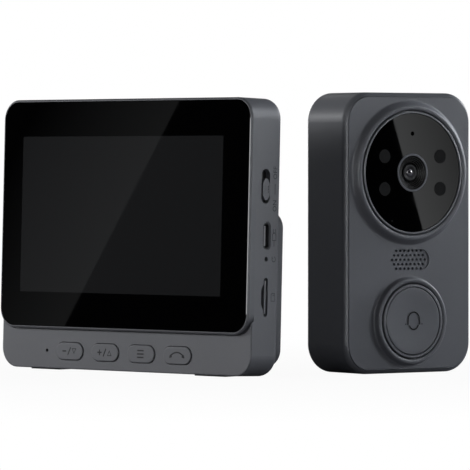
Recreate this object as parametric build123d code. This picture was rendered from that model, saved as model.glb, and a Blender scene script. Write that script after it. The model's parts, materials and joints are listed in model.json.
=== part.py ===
from build123d import *
import os
from math import cos, radians, sin, sqrt

# A battery video doorbell and its indoor monitor, standing side by side.
# Millimetres. Each unit is drawn upright in its own frame, then turned and stood on Z = 0:
# X runs to the right as its viewer sees it, Y runs from its front face into its depth,
# Z runs up from its bottom edge.

# Standing places
monitor_yaw = -42.6
monitor_lean = 1.8
doorbell_yaw = 35.2
unit_gap = 8.37
doorbell_forward = 2.37

# How far a cutting solid runs past what it cuts
overcut = 1.0

# Monitor shell; the lit screen and its borders set the width and the height
side_border = 11.48
end_border = 12.77
chin_height = 13.8
monitor_corner = 7.0
monitor_rear_round = 3.0
monitor_wall = 1.8
chin_wall = 2.0
chin_edge_round = 0.5
foot_stand = 0.1
foot_length = 14.0
foot_depth = 9.0
foot_inset = 20.0
foot_forward = 0.8
foot_socket = 0.8

# Screen, from the front backwards
bezel_proud = 1.7
bezel_seat = 1.0
bezel_rim = 0.85
rim_chamfer = 0.5
seam_width = 0.4
glass_thick = 1.1
glass_fit = 0.1
glass_edge = 0.15
tape_thick = 0.2
screen_lit_width = 95.04
screen_lit_height = 53.86
screen_x = -1.5
screen_drop = 0.1
screen_border = 1.2
module_side = 5.2
module_end = 6.7
module_fit = 0.25
module_corner = 0.8
window_corner = 0.8
tape_inset = 1.0
lcd_foam_thick = 0.2
lcd_foam_width = 3.0
cell_thick = 1.1
tray_thick = 1.8
carrier_thick = 0.4
carrier_side_cut = 1.0
carrier_tab = 4.2
carrier_tab_width = 8.0
carrier_tab_inset = 14.72

# Main board
board_gap = 0.3
board_thick = 1.0
board_side_room = 3.4
board_height = 58.0
board_bottom = 3.2
board_corner = 2.0
board_post_inset = 12.7
board_post_low = 6.2
board_post_top = 3.7
post_radius = 2.0
small_screw_radius = 0.8
small_screw_play = 0.1
small_head_radius = 1.5
small_head_thick = 0.8
small_head_room = 0.5
small_screw_length = 1.6

# Parts on the boards: width, thickness, height, then place from the board's middle, across and up
tallest_part = 1.8
can_edge = 0.4
shield_can = (26.0, tallest_part, 22.0, -14.0, 0.8)
memory_chip = (9.0, 1.1, 9.0, 12.0, 3.8)
power_chip = (6.0, 0.9, 6.0, 26.0, -8.2)
power_coil = (5.0, 1.7, 5.0, 34.0, -2.2)
battery_socket = (8.0, tallest_part, 4.5, -42.0, -12.2)
ribbon_socket = (18.0, 1.6, 4.0, 6.0, 19.8)
camera_shield = (12.0, tallest_part, 14.0, -14.0, -3.6)
radio_module = (11.0, 1.6, 15.0, 14.0, -4.6)
camera_ribbon = (12.0, 1.4, 3.4, 0.0, 8.4)

# Front buttons
button_pitch = 17.04
button_width = 12.8
button_height = 6.0
button_z = 6.2
button_gap = 0.2
button_proud = 0.45
button_edge = 0.35
button_travel = 0.4
button_flange = 0.7
button_flange_thick = 0.7
button_rest_gap = 0.05
pusher_radius = 0.85
pusher_end_gap = 0.1
switch_bore_gap = 0.15
switch_room = 0.2
key_switch_width = 4.5
key_switch_height = 3.6
key_switch_floor = 0.3
mic_hole_x = -36.8
mic_hole_radius = 0.6
mic_radius = 2.0
mic_thick = 1.4

# Right-hand side of the monitor; each part's middle lies this far behind the back of the board
power_z = 63.6
power_behind_board = -0.2
power_slot_length = 11.6
power_slot_width = 4.2
power_knob_length = 7.2
power_knob_width = 3.3
power_knob_tip = 0.35
power_knob_out = 0.3
power_knob_thick = 1.5
power_groove_deep = 0.3
power_groove_width = 0.35
power_groove_pitch = 0.9
power_travel = 2.0
power_body_length = 12.6
power_body_width = 5.0
power_body_deep = 3.6
power_stem = 1.6
power_stem_deep = 2.2
power_stem_gap = 0.1
usb_z = 47.0
usb_behind_board = 0.9
usb_shell_width = 8.94
usb_shell_height = 3.16
usb_shell_wall = 0.3
usb_deep = 7.3
usb_recess = 0.3
usb_mouth_margin = 0.15
usb_mouth_bevel = 0.2
usb_back_plug = 1.0
usb_tongue_width = 6.7
usb_tongue_thick = 0.7
usb_tongue_length = 5.6
reset_z = 39.3
reset_behind_board = 0.8
reset_radius = 0.8
reset_key_size = 3.4
side_part_gap = 0.4
notch_gap = 0.3
card_z = 26.6
card_behind_board = 0.85
card_slot_length = 13.1
card_slot_width = 2.1
card_length = 15.0
card_width = 11.0
card_thick = 0.7
card_grip = 0.8
card_grip_extra = 0.1
card_step_length = 6.4
card_step = 0.7
card_fit = 0.1
card_recess = 0.3
card_socket_wall = 0.45
card_socket_end = 0.8
card_end_gap = 0.2
card_notch_deep = 1.5
card_notch_span = 8.7
card_notch_bite = 1.0

# Back of the monitor
pod_inset = 3.0
pod_top = 55.7
pod_deep = 5.1
pod_corner = 6.0
pod_round = 2.0
pod_wall = 1.8
pod_rim_side = 6.7
pod_rim_end = 5.7
opening_corner = 3.0
room_corner = 1.2
opening_fit = 0.2
lip_deep = 1.4
lip_wall = 1.2
stand_width = 47.2
stand_height = 37.0
stand_bottom = 6.6
stand_thick = 2.4
stand_gap = 0.4
stand_floor_gap = 0.1
stand_sink = 0.2
stand_floor = 1.2
stand_frame = 1.6
stand_corner = 3.0
stand_grooves = 5
stand_groove_deep = 0.3
stand_groove_width = 0.8
stand_groove_pitch = 2.0
stand_groove_share = 0.4
pin_radius = 0.8
pin_bearing = 0.05
pin_seat = 1.1
nail_notch_width = 14.0
nail_notch_height = 2.2
cover_screw_side = 6.7
cover_screw_inset = 4.2
screw_radius = 1.0
screw_head_radius = 1.9
screw_head_thick = 1.3
screw_head_round = 0.4
screw_cross_long = 2.2
screw_cross_wide = 0.5
screw_cross_deep = 0.7
screw_clearance = 0.2
screw_head_sink = 0.7
cover_screw_length = 5.2
cover_boss_deep = 2.8
boss_radius = 2.6
battery_part_gap = 0.8
battery_side_gap = 9.6
battery_end_gap = 0.25
battery_thick = 6.6
battery_corner = 2.0
battery_edge = 0.8
pad_thick = 0.3
pad_corner = 1.0
pad_inset = 10.0
pad_end_inset = 4.0
speaker_width = 30.0
speaker_height = 16.0
speaker_thick = 4.2
speaker_corner = 2.5
speaker_edge = 0.6
speaker_x = 24.0
speaker_drop = 17.2
speaker_slots = 6
speaker_slot_pitch = 2.6
speaker_slot_width = 1.1
speaker_slot_length = 18.0
antenna_length = 32.0
antenna_width = 6.0
antenna_thick = 0.3
antenna_x = -28.0

# Doorbell shell; the two raised rims and their margins set the width and the height
case_corner = 10.0
case_front_round = 2.4
case_rear_round = 1.5
case_wall = 2.5
case_rim = 1.35
panel_gap = 0.15
panel_thick = 2.0
panel_side_margin = 0.65
panel_top_margin = 0.9
panel_bottom_margin = 0.9
skirt_gap = 10.3
case_gasket_thick = 0.6
case_back_wall = 2.0
case_screw_side = 6.7
case_screw_end = 8.6
case_post_radius = 3.3
case_post_front = 8.0
case_post_room = 0.4
case_screw_length = 8.0
case_screw_shelf = 2.4

# Raised rims of the doorbell's front
rim_proud = 2.2
rim_lip = 0.45
rim_crest = 0.95
rim_shoulder = 1.2
rim_ease = 1.0
rim_lip_pull = 0.1
ring_proud = 0.1
ring_foot = 0.8
ring_edge = 0.25
rim_seat = 0.6
rim_ledge = 0.9

# Camera
window_radius = 20.25
window_thick = 1.5
window_edge = 0.15
window_sunk = 0.35
window_fit = 0.05
camera_ring_wall = 0.65
camera_ring_gap = 0.4
camera_rim_width = 3.5
lens_ring_radius = 6.5
lens_ring_proud = 0.15
lens_ring_wall = 0.75
lens_ring_deep = 3.2
lens_ring_edge = 0.2
lens_ring_flange = 0.9
lens_ring_flange_thick = 0.8
lens_cone_end = 2.7
lens_cone_short = 0.7
lens_glass_radius = 2.6
lens_glass_crown = 0.5
lens_glass_edge = 0.5
lens_barrel_radius = 5.4
lens_barrel_length = 7.6
lens_barrel_bare = 5.4
lens_barrel_room = 0.6
lens_holder_size = 14.0
lens_holder_deep = 7.6
lens_holder_corner = 1.0
lens_thread_short = 0.6
sensor_width = 6.4
sensor_thick = 1.0
sensor_room = 0.8
infrared_x = 11.85
infrared_z = 5.55
infrared_radius = 2.5
infrared_thinning = 0.1
infrared_gap = 0.2
infrared_dome = 2.0
infrared_flange = 0.45
infrared_flange_thick = 1.0
camera_board_front = 4.6
camera_board_thick = 0.8
camera_board_corner = 3.0
camera_board_side_inset = 1.4
camera_board_top_inset = 4.8
camera_board_bottom_inset = 2.8
camera_post_side = 1.6
camera_post_top = 2.2
camera_post_bottom = 2.4
camera_post_radius = 1.6
door_mic_up = 13.3
door_mic_radius = 2.3
door_mic_hole = 0.75
door_mic_capsule = 1.2
light_sensor_x = -8.7
light_sensor_down = 16.4
light_sensor_size = 2.0
light_sensor_thick = 0.9

# Speaker of the doorbell, in the band between the two round holes
grille_pitch = 1.75
grille_hole = 0.48
grille_rows = 5
grille_middle = 9
grille_sunk = 0.45
grille_drop = 0.3
grille_width = 17.2
grille_height = 7.2
mesh_thick = 0.2
door_speaker_width = 24.0
door_speaker_room = 1.575
door_speaker_thick = 4.0
door_speaker_corner = 3.0
speaker_well_wall = 1.0
speaker_well_deep = 2.2
speaker_well_gap = 0.1

# Bell button
bell_radius = 11.5
bell_gap = 0.2
bell_proud = 2.25
bell_edge = 0.4
bell_dish = 0.25
bell_dish_inset = 1.2
bell_travel = 1.0
bell_ring_wall = 0.9
bell_ring_gap = 0.45
bell_rim_width = 2.35
bell_flange = 1.2
bell_flange_thick = 0.8
bell_stem_radius = 1.7
bell_stem_end_gap = 0.55
bell_switch_room = 0.75
bell_switch_size = 6.2
bell_switch_deep = 2.6
bell_switch_floor = 0.4
bell_switch_corner = 0.6
bell_board_thick = 1.0
bell_board_side_room = 4.5
bell_board_height = 25.0

# Behind the doorbell's front
door_board_thick = 1.0
door_board_side_room = 2.5
door_board_end_room = 1.9
door_board_height = 34.0
door_post_side = 4.0
door_post_high_drop = 12.0
door_post_low_drop = 30.0
door_battery_thick = 10.4
door_battery_post_gap = 0.5
door_battery_board_gap = 2.2
battery_foam_thick = 0.3
battery_foam_side = 4.0
battery_foam_end = 3.0
battery_rib_height = 1.7
battery_rib_thick = 1.2
battery_rib_inset = 7.0
charge_post_gap = 0.63
charge_wall_gap = 0.1
plug_thick = 1.2
plug_flange = 0.8
plug_hole_margin = 0.3
plug_gap = 0.1
plug_nose = 1.2
plug_grip_deep = 0.4
plug_grip_width = 1.2

# Wall bracket
bracket_inset = 2.2
bracket_corner = 8.0
bracket_thick = 2.15
bracket_gap = 0.05
bracket_edge = 0.5
bracket_hole_pitch = 60.0
bracket_hole_radius = 2.1
bracket_head_radius = 4.2
bracket_head_deep = 1.1
head_pocket = 1.3
head_pocket_margin = 0.6
hook_post_gap = 1.0
hook_rise = 4.5
hook_pitch = 44.0
hook_width = 4.0
hook_neck = 3.0
hook_lip = 3.6
hook_lip_thick = 1.3
hook_gap = 0.15
hook_slot_spare = 0.3
lift_off = 6.0

# Outline of the monitor
monitor_width = screen_lit_width + 2 * side_border
bezel_height = screen_lit_height + 2 * end_border
monitor_height = chin_height + bezel_height
bezel_middle = chin_height + bezel_height / 2
screen_z = bezel_middle - screen_drop
inner_half = monitor_width / 2 - monitor_wall
side_face = monitor_width / 2
speaker_z = monitor_height - speaker_drop

# Stack of the monitor, worked out from the front backwards
glass_front = -bezel_proud
glass_back = glass_front + glass_thick
ledge_front = glass_back + tape_thick
lcd_front = bezel_seat + lcd_foam_thick
cell_back = lcd_front + cell_thick
tray_back = cell_back + tray_thick
carrier_back = tray_back + carrier_thick
board_front = carrier_back + board_gap
board_back = board_front + board_thick
battery_front = board_back + tallest_part + battery_part_gap
battery_back = battery_front + battery_thick
recess_front = battery_back + pad_thick + stand_floor
stand_front = recess_front + stand_floor_gap
stand_back = stand_front + stand_thick
pod_back = stand_back + stand_sink
monitor_depth = pod_back - pod_deep
front_wall_back = bezel_seat + monitor_wall
rear_wall_front = monitor_depth - monitor_wall

# Screen, board and battery of the monitor
module_width = screen_lit_width + 2 * module_side
module_height = screen_lit_height + 2 * module_end
glass_width = monitor_width - 2 * bezel_rim
glass_height = bezel_height - 2 * bezel_rim
glass_corner = monitor_corner - bezel_rim
window_width = screen_lit_width + 2 * screen_border
window_height = screen_lit_height + 2 * screen_border
board_width = monitor_width - 2 * (monitor_wall + board_side_room)
board_middle = board_bottom + board_height / 2
power_y = board_back + power_behind_board
usb_y = board_back + usb_behind_board
reset_y = board_back + reset_behind_board
card_y = board_back + card_behind_board
pod_width = monitor_width - 2 * pod_inset
pod_height = pod_top - pod_inset
pod_middle = (pod_top + pod_inset) / 2
opening_width = pod_width - 2 * pod_rim_side
opening_height = pod_height - 2 * pod_rim_end
room_width = opening_width - 2 * (opening_fit + lip_wall)
room_height = opening_height - 2 * (opening_fit + lip_wall)
battery_width = room_width - 2 * battery_side_gap
battery_height = room_height - 2 * battery_end_gap
recess_width = stand_width + 2 * stand_gap
hinge_z = stand_bottom + stand_height - stand_thick / 2
hinge_y = stand_back - stand_thick / 2
recess_bottom = stand_bottom - stand_gap
recess_top = hinge_z + stand_thick / 2 + stand_gap
recess_height = recess_top - recess_bottom
recess_middle = (recess_top + recess_bottom) / 2

# Outline of the doorbell, from its two round features
camera_ring_inner = window_radius + window_fit
camera_ring_outer = camera_ring_inner + camera_ring_wall
camera_hole_radius = camera_ring_outer + camera_ring_gap
camera_skirt_radius = camera_hole_radius + camera_rim_width
bell_ring_inner = bell_radius + bell_gap
bell_ring_outer = bell_ring_inner + bell_ring_wall
bell_hole_radius = bell_ring_outer + bell_ring_gap
bell_skirt_radius = bell_hole_radius + bell_rim_width
panel_edge = case_rim + panel_gap
doorbell_width = 2 * (camera_skirt_radius + panel_side_margin + panel_edge)
bell_z = panel_edge + panel_bottom_margin + bell_skirt_radius
camera_z = bell_z + bell_skirt_radius + skirt_gap + camera_skirt_radius
doorbell_height = camera_z + camera_skirt_radius + panel_top_margin + panel_edge
band_low = bell_z + bell_hole_radius
band_high = camera_z - camera_hole_radius
grille_z = (band_low + band_high) / 2 - grille_drop
door_speaker_height = band_high - band_low - 2 * door_speaker_room

# Stack of the doorbell, worked out from the front backwards
panel_back = panel_thick
case_shoulder = panel_back + case_gasket_thick
ring_front = -rim_proud - ring_proud
window_front = -rim_proud + window_sunk
window_back = window_front + window_thick
lens_front = window_front - lens_ring_proud
lens_ring_back = lens_front + lens_ring_deep
lens_holder_front = lens_ring_back + lens_barrel_bare
door_board_front = lens_holder_front + lens_holder_deep
door_board_back = door_board_front + door_board_thick
bell_flange_front = panel_back + button_rest_gap
bell_flange_back = bell_flange_front + bell_flange_thick
bell_switch_front = bell_flange_back + bell_travel + bell_switch_room
bell_board_front = bell_switch_front + bell_switch_deep
bell_stem_back = bell_board_front - bell_switch_floor - bell_travel - bell_stem_end_gap
bell_board_back = bell_board_front + bell_board_thick
door_battery_front = bell_board_back + battery_foam_thick
door_battery_back = door_battery_front + door_battery_thick
case_floor = door_battery_back + battery_rib_height
case_deep = case_floor + case_back_wall
bracket_front = case_deep + bracket_gap
bracket_back = bracket_front + bracket_thick
bracket_middle = doorbell_height / 2

# Boards, battery, hooks and socket of the doorbell
case_screw_x = doorbell_width / 2 - case_screw_side
camera_board_width = 2 * (window_radius - camera_board_side_inset)
camera_board_up = window_radius - camera_board_top_inset
camera_board_down = window_radius - camera_board_bottom_inset
bell_board_width = doorbell_width - 2 * (case_wall + bell_board_side_room)
door_board_width = doorbell_width - 2 * (case_wall + door_board_side_room)
door_board_top = doorbell_height - case_wall - door_board_end_room
door_board_middle = door_board_top - door_board_height / 2
door_battery_bottom = case_wall + door_board_end_room
door_battery_top = door_board_top - door_board_height - door_battery_board_gap
door_battery_height = door_battery_top - door_battery_bottom
door_battery_width = 2 * (case_screw_x - case_post_radius - door_battery_post_gap)
door_post_x = door_board_width / 2 - door_post_side
hook_x = door_post_x - post_radius - hook_post_gap - hook_width / 2
charge_z = case_screw_end + case_post_radius + charge_post_gap + usb_shell_width / 2
charge_y = bell_board_back + usb_shell_height / 2
plug_hole_length = usb_shell_width + 2 * plug_hole_margin
plug_hole_across = usb_shell_height + 2 * plug_hole_margin


# Simple forms, each with its front face at depth y

def slab(width, height, thick, corner, x, y, z):
    """A plate with rounded corners that faces the viewer, centred on (x, z)."""
    outline = Plane.XZ * RectangleRounded(width, height, corner)
    return Pos(x, y + thick, z) * extrude(outline, thick)


def pill(width, height, thick, x, y, z):
    """A plate with half-round ends, its long way along X."""
    outline = Plane.XZ * SlotOverall(width, height)
    return Pos(x, y + thick, z) * extrude(outline, thick)


def block(width, thick, height, x, y, z):
    """A plain box, centred on (x, z)."""
    return Pos(x, y + thick / 2, z) * Box(width, thick, height)


def disc(radius, thick, x, y, z):
    """A round plate whose axis runs into the depth."""
    return Pos(x, y + thick / 2, z) * Rot(90, 0, 0) * Cylinder(radius, thick)


def taper(front_radius, back_radius, thick, x, y, z):
    """A round plate whose radius changes from its front to its back."""
    return Pos(x, y + thick / 2, z) * Rot(90, 0, 0) * Cone(back_radius, front_radius, thick)


def side_block(x_from, x_to, depth, height, y, z):
    """A box between two planes across X, centred on (y, z)."""
    return Pos((x_from + x_to) / 2, y, z) * Box(x_to - x_from, depth, height)


def side_pill(x_from, x_to, depth, height, y, z):
    """A plate across X with half-round ends, its long way upwards."""
    outline = Plane.YZ * SlotOverall(height, depth, rotation=90)
    return Pos(x_from, y, z) * extrude(outline, x_to - x_from)


def side_rod(x_from, x_to, radius, y, z):
    """A round bar along X."""
    return Pos((x_from + x_to) / 2, y, z) * Rot(0, 90, 0) * Cylinder(radius, x_to - x_from)


def round_rear(solid, radius):
    """Rounds the edges of the rearmost face."""
    return fillet(solid.faces().sort_by(Axis.Y)[-1].edges(), radius)


def round_front(solid, radius):
    """Rounds the edges of the foremost face."""
    return fillet(solid.faces().sort_by(Axis.Y)[0].edges(), radius)


def bevel_front(solid, length):
    """Bevels the edges of the foremost face."""
    return chamfer(solid.faces().sort_by(Axis.Y)[0].edges(), length)


def group(solids):
    """Separate solids of one kind, kept together."""
    return Compound(list(solids))


# Places that several pieces share

def button_places():
    return [(n - 1.5) * button_pitch for n in range(4)]


def carrier_tab_places():
    low = screen_z - module_height / 2 - carrier_tab / 2
    high = screen_z + module_height / 2 + carrier_tab / 2
    x = module_width / 2 - carrier_tab_inset
    return [(screen_x + side * x, z) for side in (-1, 1) for z in (low, high)]


def chin_post_places():
    return [(side * (monitor_width / 2 - board_post_inset), board_post_low) for side in (-1, 1)]


def carrier_post_places():
    high = board_bottom + board_height - board_post_top
    return [(side * (monitor_width / 2 - board_post_inset), high) for side in (-1, 1)]


def cover_screw_places():
    low = pod_inset + cover_screw_inset
    high = pod_top - cover_screw_inset
    x = monitor_width / 2 - cover_screw_side
    return [(side * x, z) for side in (-1, 1) for z in (low, high)]


def case_screw_places():
    high = doorbell_height - case_screw_end
    return [(side * case_screw_x, z) for side in (-1, 1) for z in (case_screw_end, high)]


def camera_post_places():
    low = camera_z - camera_board_down + camera_post_bottom
    high = camera_z + camera_board_up - camera_post_top
    x = camera_board_width / 2 - camera_post_side
    return [(side * x, z) for side in (-1, 1) for z in (low, high)]


def infrared_places():
    return [(sx * infrared_x, camera_z + sz * infrared_z) for sx in (-1, 1) for sz in (-1, 1)]


def hook_places():
    middle = bracket_middle + hook_rise
    return [(side * hook_x, middle + up * hook_pitch / 2) for side in (-1, 1) for up in (-1, 1)]


def foot_places():
    return [side * (monitor_width / 2 - foot_inset) for side in (-1, 1)]


def foot_block(x, low, high):
    """A block in the place of one foot, between two heights."""
    return Pos(x, monitor_depth / 2 - foot_forward, (low + high) / 2) * Box(
        foot_length, foot_depth, high - low)


def monitor_housing():
    """The tub that carries everything: chin, side walls and rounded back, one moulding."""
    body = slab(monitor_width, monitor_height, monitor_depth, monitor_corner,
                0, 0, monitor_height / 2)
    body = round_rear(body, monitor_rear_round)
    body = round_front(body, chin_edge_round)
    body -= slab(monitor_width + 2 * seam_width, bezel_height + 2 * seam_width, bezel_seat,
                 monitor_corner + seam_width, 0, 0, bezel_middle)
    body -= slab(monitor_width - 2 * monitor_wall, monitor_height - 2 * monitor_wall,
                 rear_wall_front - front_wall_back, monitor_corner - monitor_wall,
                 0, front_wall_back, monitor_height / 2)
    chin_room = chin_height - monitor_wall
    body -= block(monitor_width - 2 * monitor_corner, front_wall_back - chin_wall,
                  chin_room - monitor_wall, 0, chin_wall, monitor_wall + (chin_room - monitor_wall) / 2)
    body -= slab(module_width + 2 * module_fit, module_height + 2 * module_fit,
                 front_wall_back - bezel_seat, module_corner + module_fit,
                 screen_x, bezel_seat, screen_z)
    for x, z in carrier_tab_places():
        body += disc(post_radius, tray_back - front_wall_back, x, front_wall_back, z)
        body -= disc(small_screw_radius, tray_back - front_wall_back, x, front_wall_back, z)
    for x, z in chin_post_places():
        body += disc(post_radius, board_front - chin_wall, x, chin_wall, z)
        body -= disc(small_screw_radius, board_front - front_wall_back, x, front_wall_back, z)
    body -= slab(opening_width, opening_height, monitor_wall, opening_corner,
                 0, rear_wall_front, pod_middle)
    for x, z in cover_screw_places():
        body += disc(boss_radius, cover_boss_deep, x, rear_wall_front - cover_boss_deep, z)
        body -= disc(screw_radius, cover_boss_deep + monitor_wall, x,
                     rear_wall_front - cover_boss_deep, z)
    for x in button_places():
        body -= pill(button_width + 2 * button_gap, button_height + 2 * button_gap,
                     chin_wall, x, 0, button_z)
    body -= disc(mic_hole_radius, chin_wall, mic_hole_x, 0, button_z)
    body -= side_openings()
    first = speaker_z - (speaker_slots - 1) / 2 * speaker_slot_pitch
    for n in range(speaker_slots):
        body -= pill(speaker_slot_length, speaker_slot_width, monitor_wall,
                     speaker_x, rear_wall_front, first + n * speaker_slot_pitch)
    for x in foot_places():
        body -= foot_block(x, -foot_socket, foot_socket)
    return body


def side_openings():
    """Everything that is cut through the monitor's right wall."""
    outside = side_face + overcut
    usb_length = usb_shell_width + 2 * usb_mouth_margin
    usb_across = usb_shell_height + 2 * usb_mouth_margin
    cuts = side_pill(inner_half, outside, power_slot_width, power_slot_length, power_y, power_z)
    cuts += side_pill(inner_half, outside, usb_across, usb_length, usb_y, usb_z)
    cuts += side_pill(side_face - usb_mouth_bevel, outside, usb_across + 2 * usb_mouth_bevel,
                      usb_length + 2 * usb_mouth_bevel, usb_y, usb_z)
    cuts += side_rod(inner_half, outside, reset_radius, reset_y, reset_z)
    cuts += side_pill(inner_half, outside, card_slot_width, card_slot_length, card_y, card_z)
    half = card_notch_span / 2
    scoop_radius = (half ** 2 + card_notch_deep ** 2) / (2 * card_notch_deep)
    scoop_y = card_y - card_slot_width / 2 - card_notch_deep + scoop_radius
    scoop = side_rod(side_face - card_notch_bite, outside, scoop_radius, scoop_y, card_z)
    keep = side_block(side_face - card_notch_bite, outside, 2 * scoop_radius, 2 * scoop_radius,
                      card_y - scoop_radius, card_z)
    return cuts + (scoop & keep)


def monitor_feet():
    """Two rubber strips whose soles are ground level, so that they lie on Z = 0."""
    feet = []
    ground = Pos(0, 0, -foot_length) * Box(2 * monitor_width, 2 * monitor_width, 2 * foot_length)
    for x in foot_places():
        standing = monitor_place() * foot_block(x, -foot_length, foot_socket)
        feet.append(standing - ground)
    return group(feet)


def screen_bezel():
    """The raised rim round the glass, with the ledge that the glass is taped to."""
    frame = slab(monitor_width, bezel_height, bezel_seat + bezel_proud, monitor_corner,
                 0, -bezel_proud, bezel_middle)
    frame = bevel_front(frame, rim_chamfer)
    frame -= slab(glass_width + 2 * glass_fit, glass_height + 2 * glass_fit,
                  ledge_front + bezel_proud, glass_corner + glass_fit,
                  0, -bezel_proud, bezel_middle)
    return frame - slab(window_width, window_height, bezel_seat - ledge_front, window_corner,
                        screen_x, ledge_front, screen_z)


def screen_glass():
    plate = slab(glass_width, glass_height, glass_thick, glass_corner, 0, glass_front, bezel_middle)
    return bevel_front(plate, glass_edge)


def screen_tape():
    ring = slab(glass_width, glass_height, tape_thick, glass_corner, 0, glass_back, bezel_middle)
    return ring - slab(window_width + 2 * tape_inset, window_height + 2 * tape_inset,
                       tape_thick, window_corner + tape_inset,
                       screen_x, glass_back, screen_z)


def lcd_foam():
    outer_width = window_width + 2 * lcd_foam_width
    outer_height = window_height + 2 * lcd_foam_width
    ring = slab(outer_width, outer_height, lcd_foam_thick, module_corner,
                screen_x, bezel_seat, screen_z)
    return ring - slab(window_width, window_height, lcd_foam_thick, window_corner,
                       screen_x, bezel_seat, screen_z)


def lcd_panel():
    return slab(module_width, module_height, cell_thick, module_corner,
                screen_x, lcd_front, screen_z)


def lcd_backlight():
    """The light guide in its metal tray."""
    return slab(module_width, module_height, tray_thick, module_corner,
                screen_x, cell_back, screen_z)


def lcd_carrier():
    """Sheet that clamps the panel, with four screwed tabs and two pads for the board."""
    plate = slab(module_width - 2 * carrier_side_cut, module_height, carrier_thick, module_corner,
                 screen_x, tray_back, screen_z)
    for x, z in carrier_tab_places():
        plate += block(carrier_tab_width, carrier_thick, carrier_tab, x, tray_back, z)
        plate -= disc(small_screw_radius + small_screw_play, carrier_thick, x, tray_back, z)
    for x, z in carrier_post_places():
        plate += disc(post_radius, board_gap, x, carrier_back, z)
        plate -= disc(small_screw_radius, board_gap + carrier_thick, x, tray_back, z)
    return plate


def main_board():
    """Printed board, notched for the sunk switch and port and holed for the screws."""
    board = slab(board_width, board_height, board_thick, board_corner,
                 0, board_front, board_middle)
    board -= side_block(inner_half - power_body_deep - notch_gap, side_face, 2 * board_back,
                        power_body_length + 2 * notch_gap, board_front, power_z)
    board -= side_block(side_face - usb_recess - usb_deep - notch_gap, side_face, 2 * board_back,
                        usb_shell_width + 2 * notch_gap, board_front, usb_z)
    for x, z in carrier_tab_places():
        board -= disc(small_head_radius + small_head_room, board_thick, x, board_front, z)
    for x, z in chin_post_places() + carrier_post_places():
        board -= disc(small_screw_radius + small_screw_play, board_thick, x, board_front, z)
    return board


def board_part(size, face, middle, forwards=0):
    """A part on a board's face; forwards is 1 where it stands towards the viewer."""
    width, thick, height, across, up = size
    return block(width, thick, height, across, face - forwards * thick, middle + up)


def board_parts():
    """Shield can, memory, power chip, coil and two connectors on the back of the board."""
    can = round_rear(board_part(shield_can, board_back, board_middle), can_edge)
    others = (memory_chip, power_chip, power_coil, battery_socket, ribbon_socket)
    return group([can] + [board_part(size, board_back, board_middle) for size in others])


def small_screws():
    """Plain pan-head screws: four in the carrier, four in the board."""
    screws = []
    for places, seat in ((carrier_tab_places(), carrier_back),
                         (chin_post_places() + carrier_post_places(), board_back)):
        for x, z in places:
            head = disc(small_head_radius, small_head_thick, x, seat, z)
            shank = disc(small_screw_radius, small_screw_length, x, seat - small_screw_length, z)
            screws.append(head + shank)
    return group(screws)


def key_switches():
    """Tact switches under the four buttons; each button's pusher runs in its switch's well."""
    flange_back = chin_wall + button_rest_gap + button_flange_thick
    front = flange_back + button_travel + switch_room
    deep = board_front - front
    bodies = []
    for x in button_places():
        body = block(key_switch_width, deep, key_switch_height, x, front, button_z)
        bodies.append(body - disc(pusher_radius + switch_bore_gap, deep - key_switch_floor,
                                  x, front, button_z))
    return group(bodies)


def front_button(x):
    """A pill cap with a flange behind the wall and a pusher into its switch."""
    cap = pill(button_width, button_height, button_proud + chin_wall + button_rest_gap,
               x, -button_proud, button_z)
    cap = round_front(cap, button_edge)
    flange_front = chin_wall + button_rest_gap
    flange_back = flange_front + button_flange_thick
    flange = pill(button_width + 2 * (button_gap + button_flange),
                  button_height + 2 * (button_gap + button_flange),
                  button_flange_thick, x, flange_front, button_z)
    pusher_end = board_front - key_switch_floor - button_travel - pusher_end_gap
    return cap + flange + disc(pusher_radius, pusher_end - flange_back, x, flange_back, button_z)


def monitor_microphone():
    return disc(mic_radius, mic_thick, mic_hole_x, board_front - mic_thick, button_z)


def power_knob_z():
    """The knob rests at the lower, switched-on end of its slot."""
    return power_z - power_travel / 2


def power_switch_body():
    body = side_block(inner_half - power_body_deep, inner_half, power_body_width,
                      power_body_length, power_y, power_z)
    wide = power_stem + 2 * power_stem_gap
    return body - side_block(inner_half - power_stem_deep - power_stem_gap, inner_half,
                             wide, wide + power_travel, power_y, power_z)


def power_switch_knob():
    """A thumb piece with pointed ends and three grip ridges, on a square stem."""
    z = power_knob_z()
    outer = side_face + power_knob_out
    half_long = power_knob_length / 2
    half_wide = power_knob_width / 2
    waist = half_long - half_wide
    tip = half_wide * power_knob_tip
    outline = Polyline((-half_wide, -waist), (-half_wide, waist), (-tip, half_long),
                       (tip, half_long), (half_wide, waist), (half_wide, -waist),
                       (tip, -half_long), (-tip, -half_long), close=True)
    cap = Pos(outer - power_knob_thick, power_y, z) * extrude(
        Plane.YZ * make_face(outline), power_knob_thick)
    for n in (-1, 0, 1):
        cap -= side_block(outer - power_groove_deep, outer + overcut, 2 * half_wide - 4 * tip / 3,
                          power_groove_width, power_y, z + n * power_groove_pitch)
    stem = side_block(inner_half - power_stem_deep, outer - power_knob_thick, power_stem, power_stem,
                      power_y, z)
    return cap + stem


def usb_receptacle(x_mouth, x_back, y, z):
    """A reversible power socket lying along X: shell, rear plug and tongue in one."""
    low, high = min(x_mouth, x_back), max(x_mouth, x_back)
    shell = side_pill(low, high, usb_shell_height, usb_shell_width, y, z)
    inside = side_pill(low + usb_back_plug, high, usb_shell_height - 2 * usb_shell_wall,
                       usb_shell_width - 2 * usb_shell_wall, y, z)
    tongue = side_block(low + usb_back_plug, low + usb_back_plug + usb_tongue_length,
                        usb_tongue_thick, usb_tongue_width, y, z)
    return shell - inside + tongue


def usb_port():
    mouth = side_face - usb_recess
    return usb_receptacle(mouth, mouth - usb_deep, usb_y, usb_z)


def reset_key():
    """A small push key behind the pinhole, soldered to the back of the board."""
    deep = reset_y + reset_key_size / 2 - board_back
    return side_block(inner_half - reset_key_size, inner_half - side_part_gap, deep,
                      reset_key_size, board_back + deep / 2, reset_z)


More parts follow.
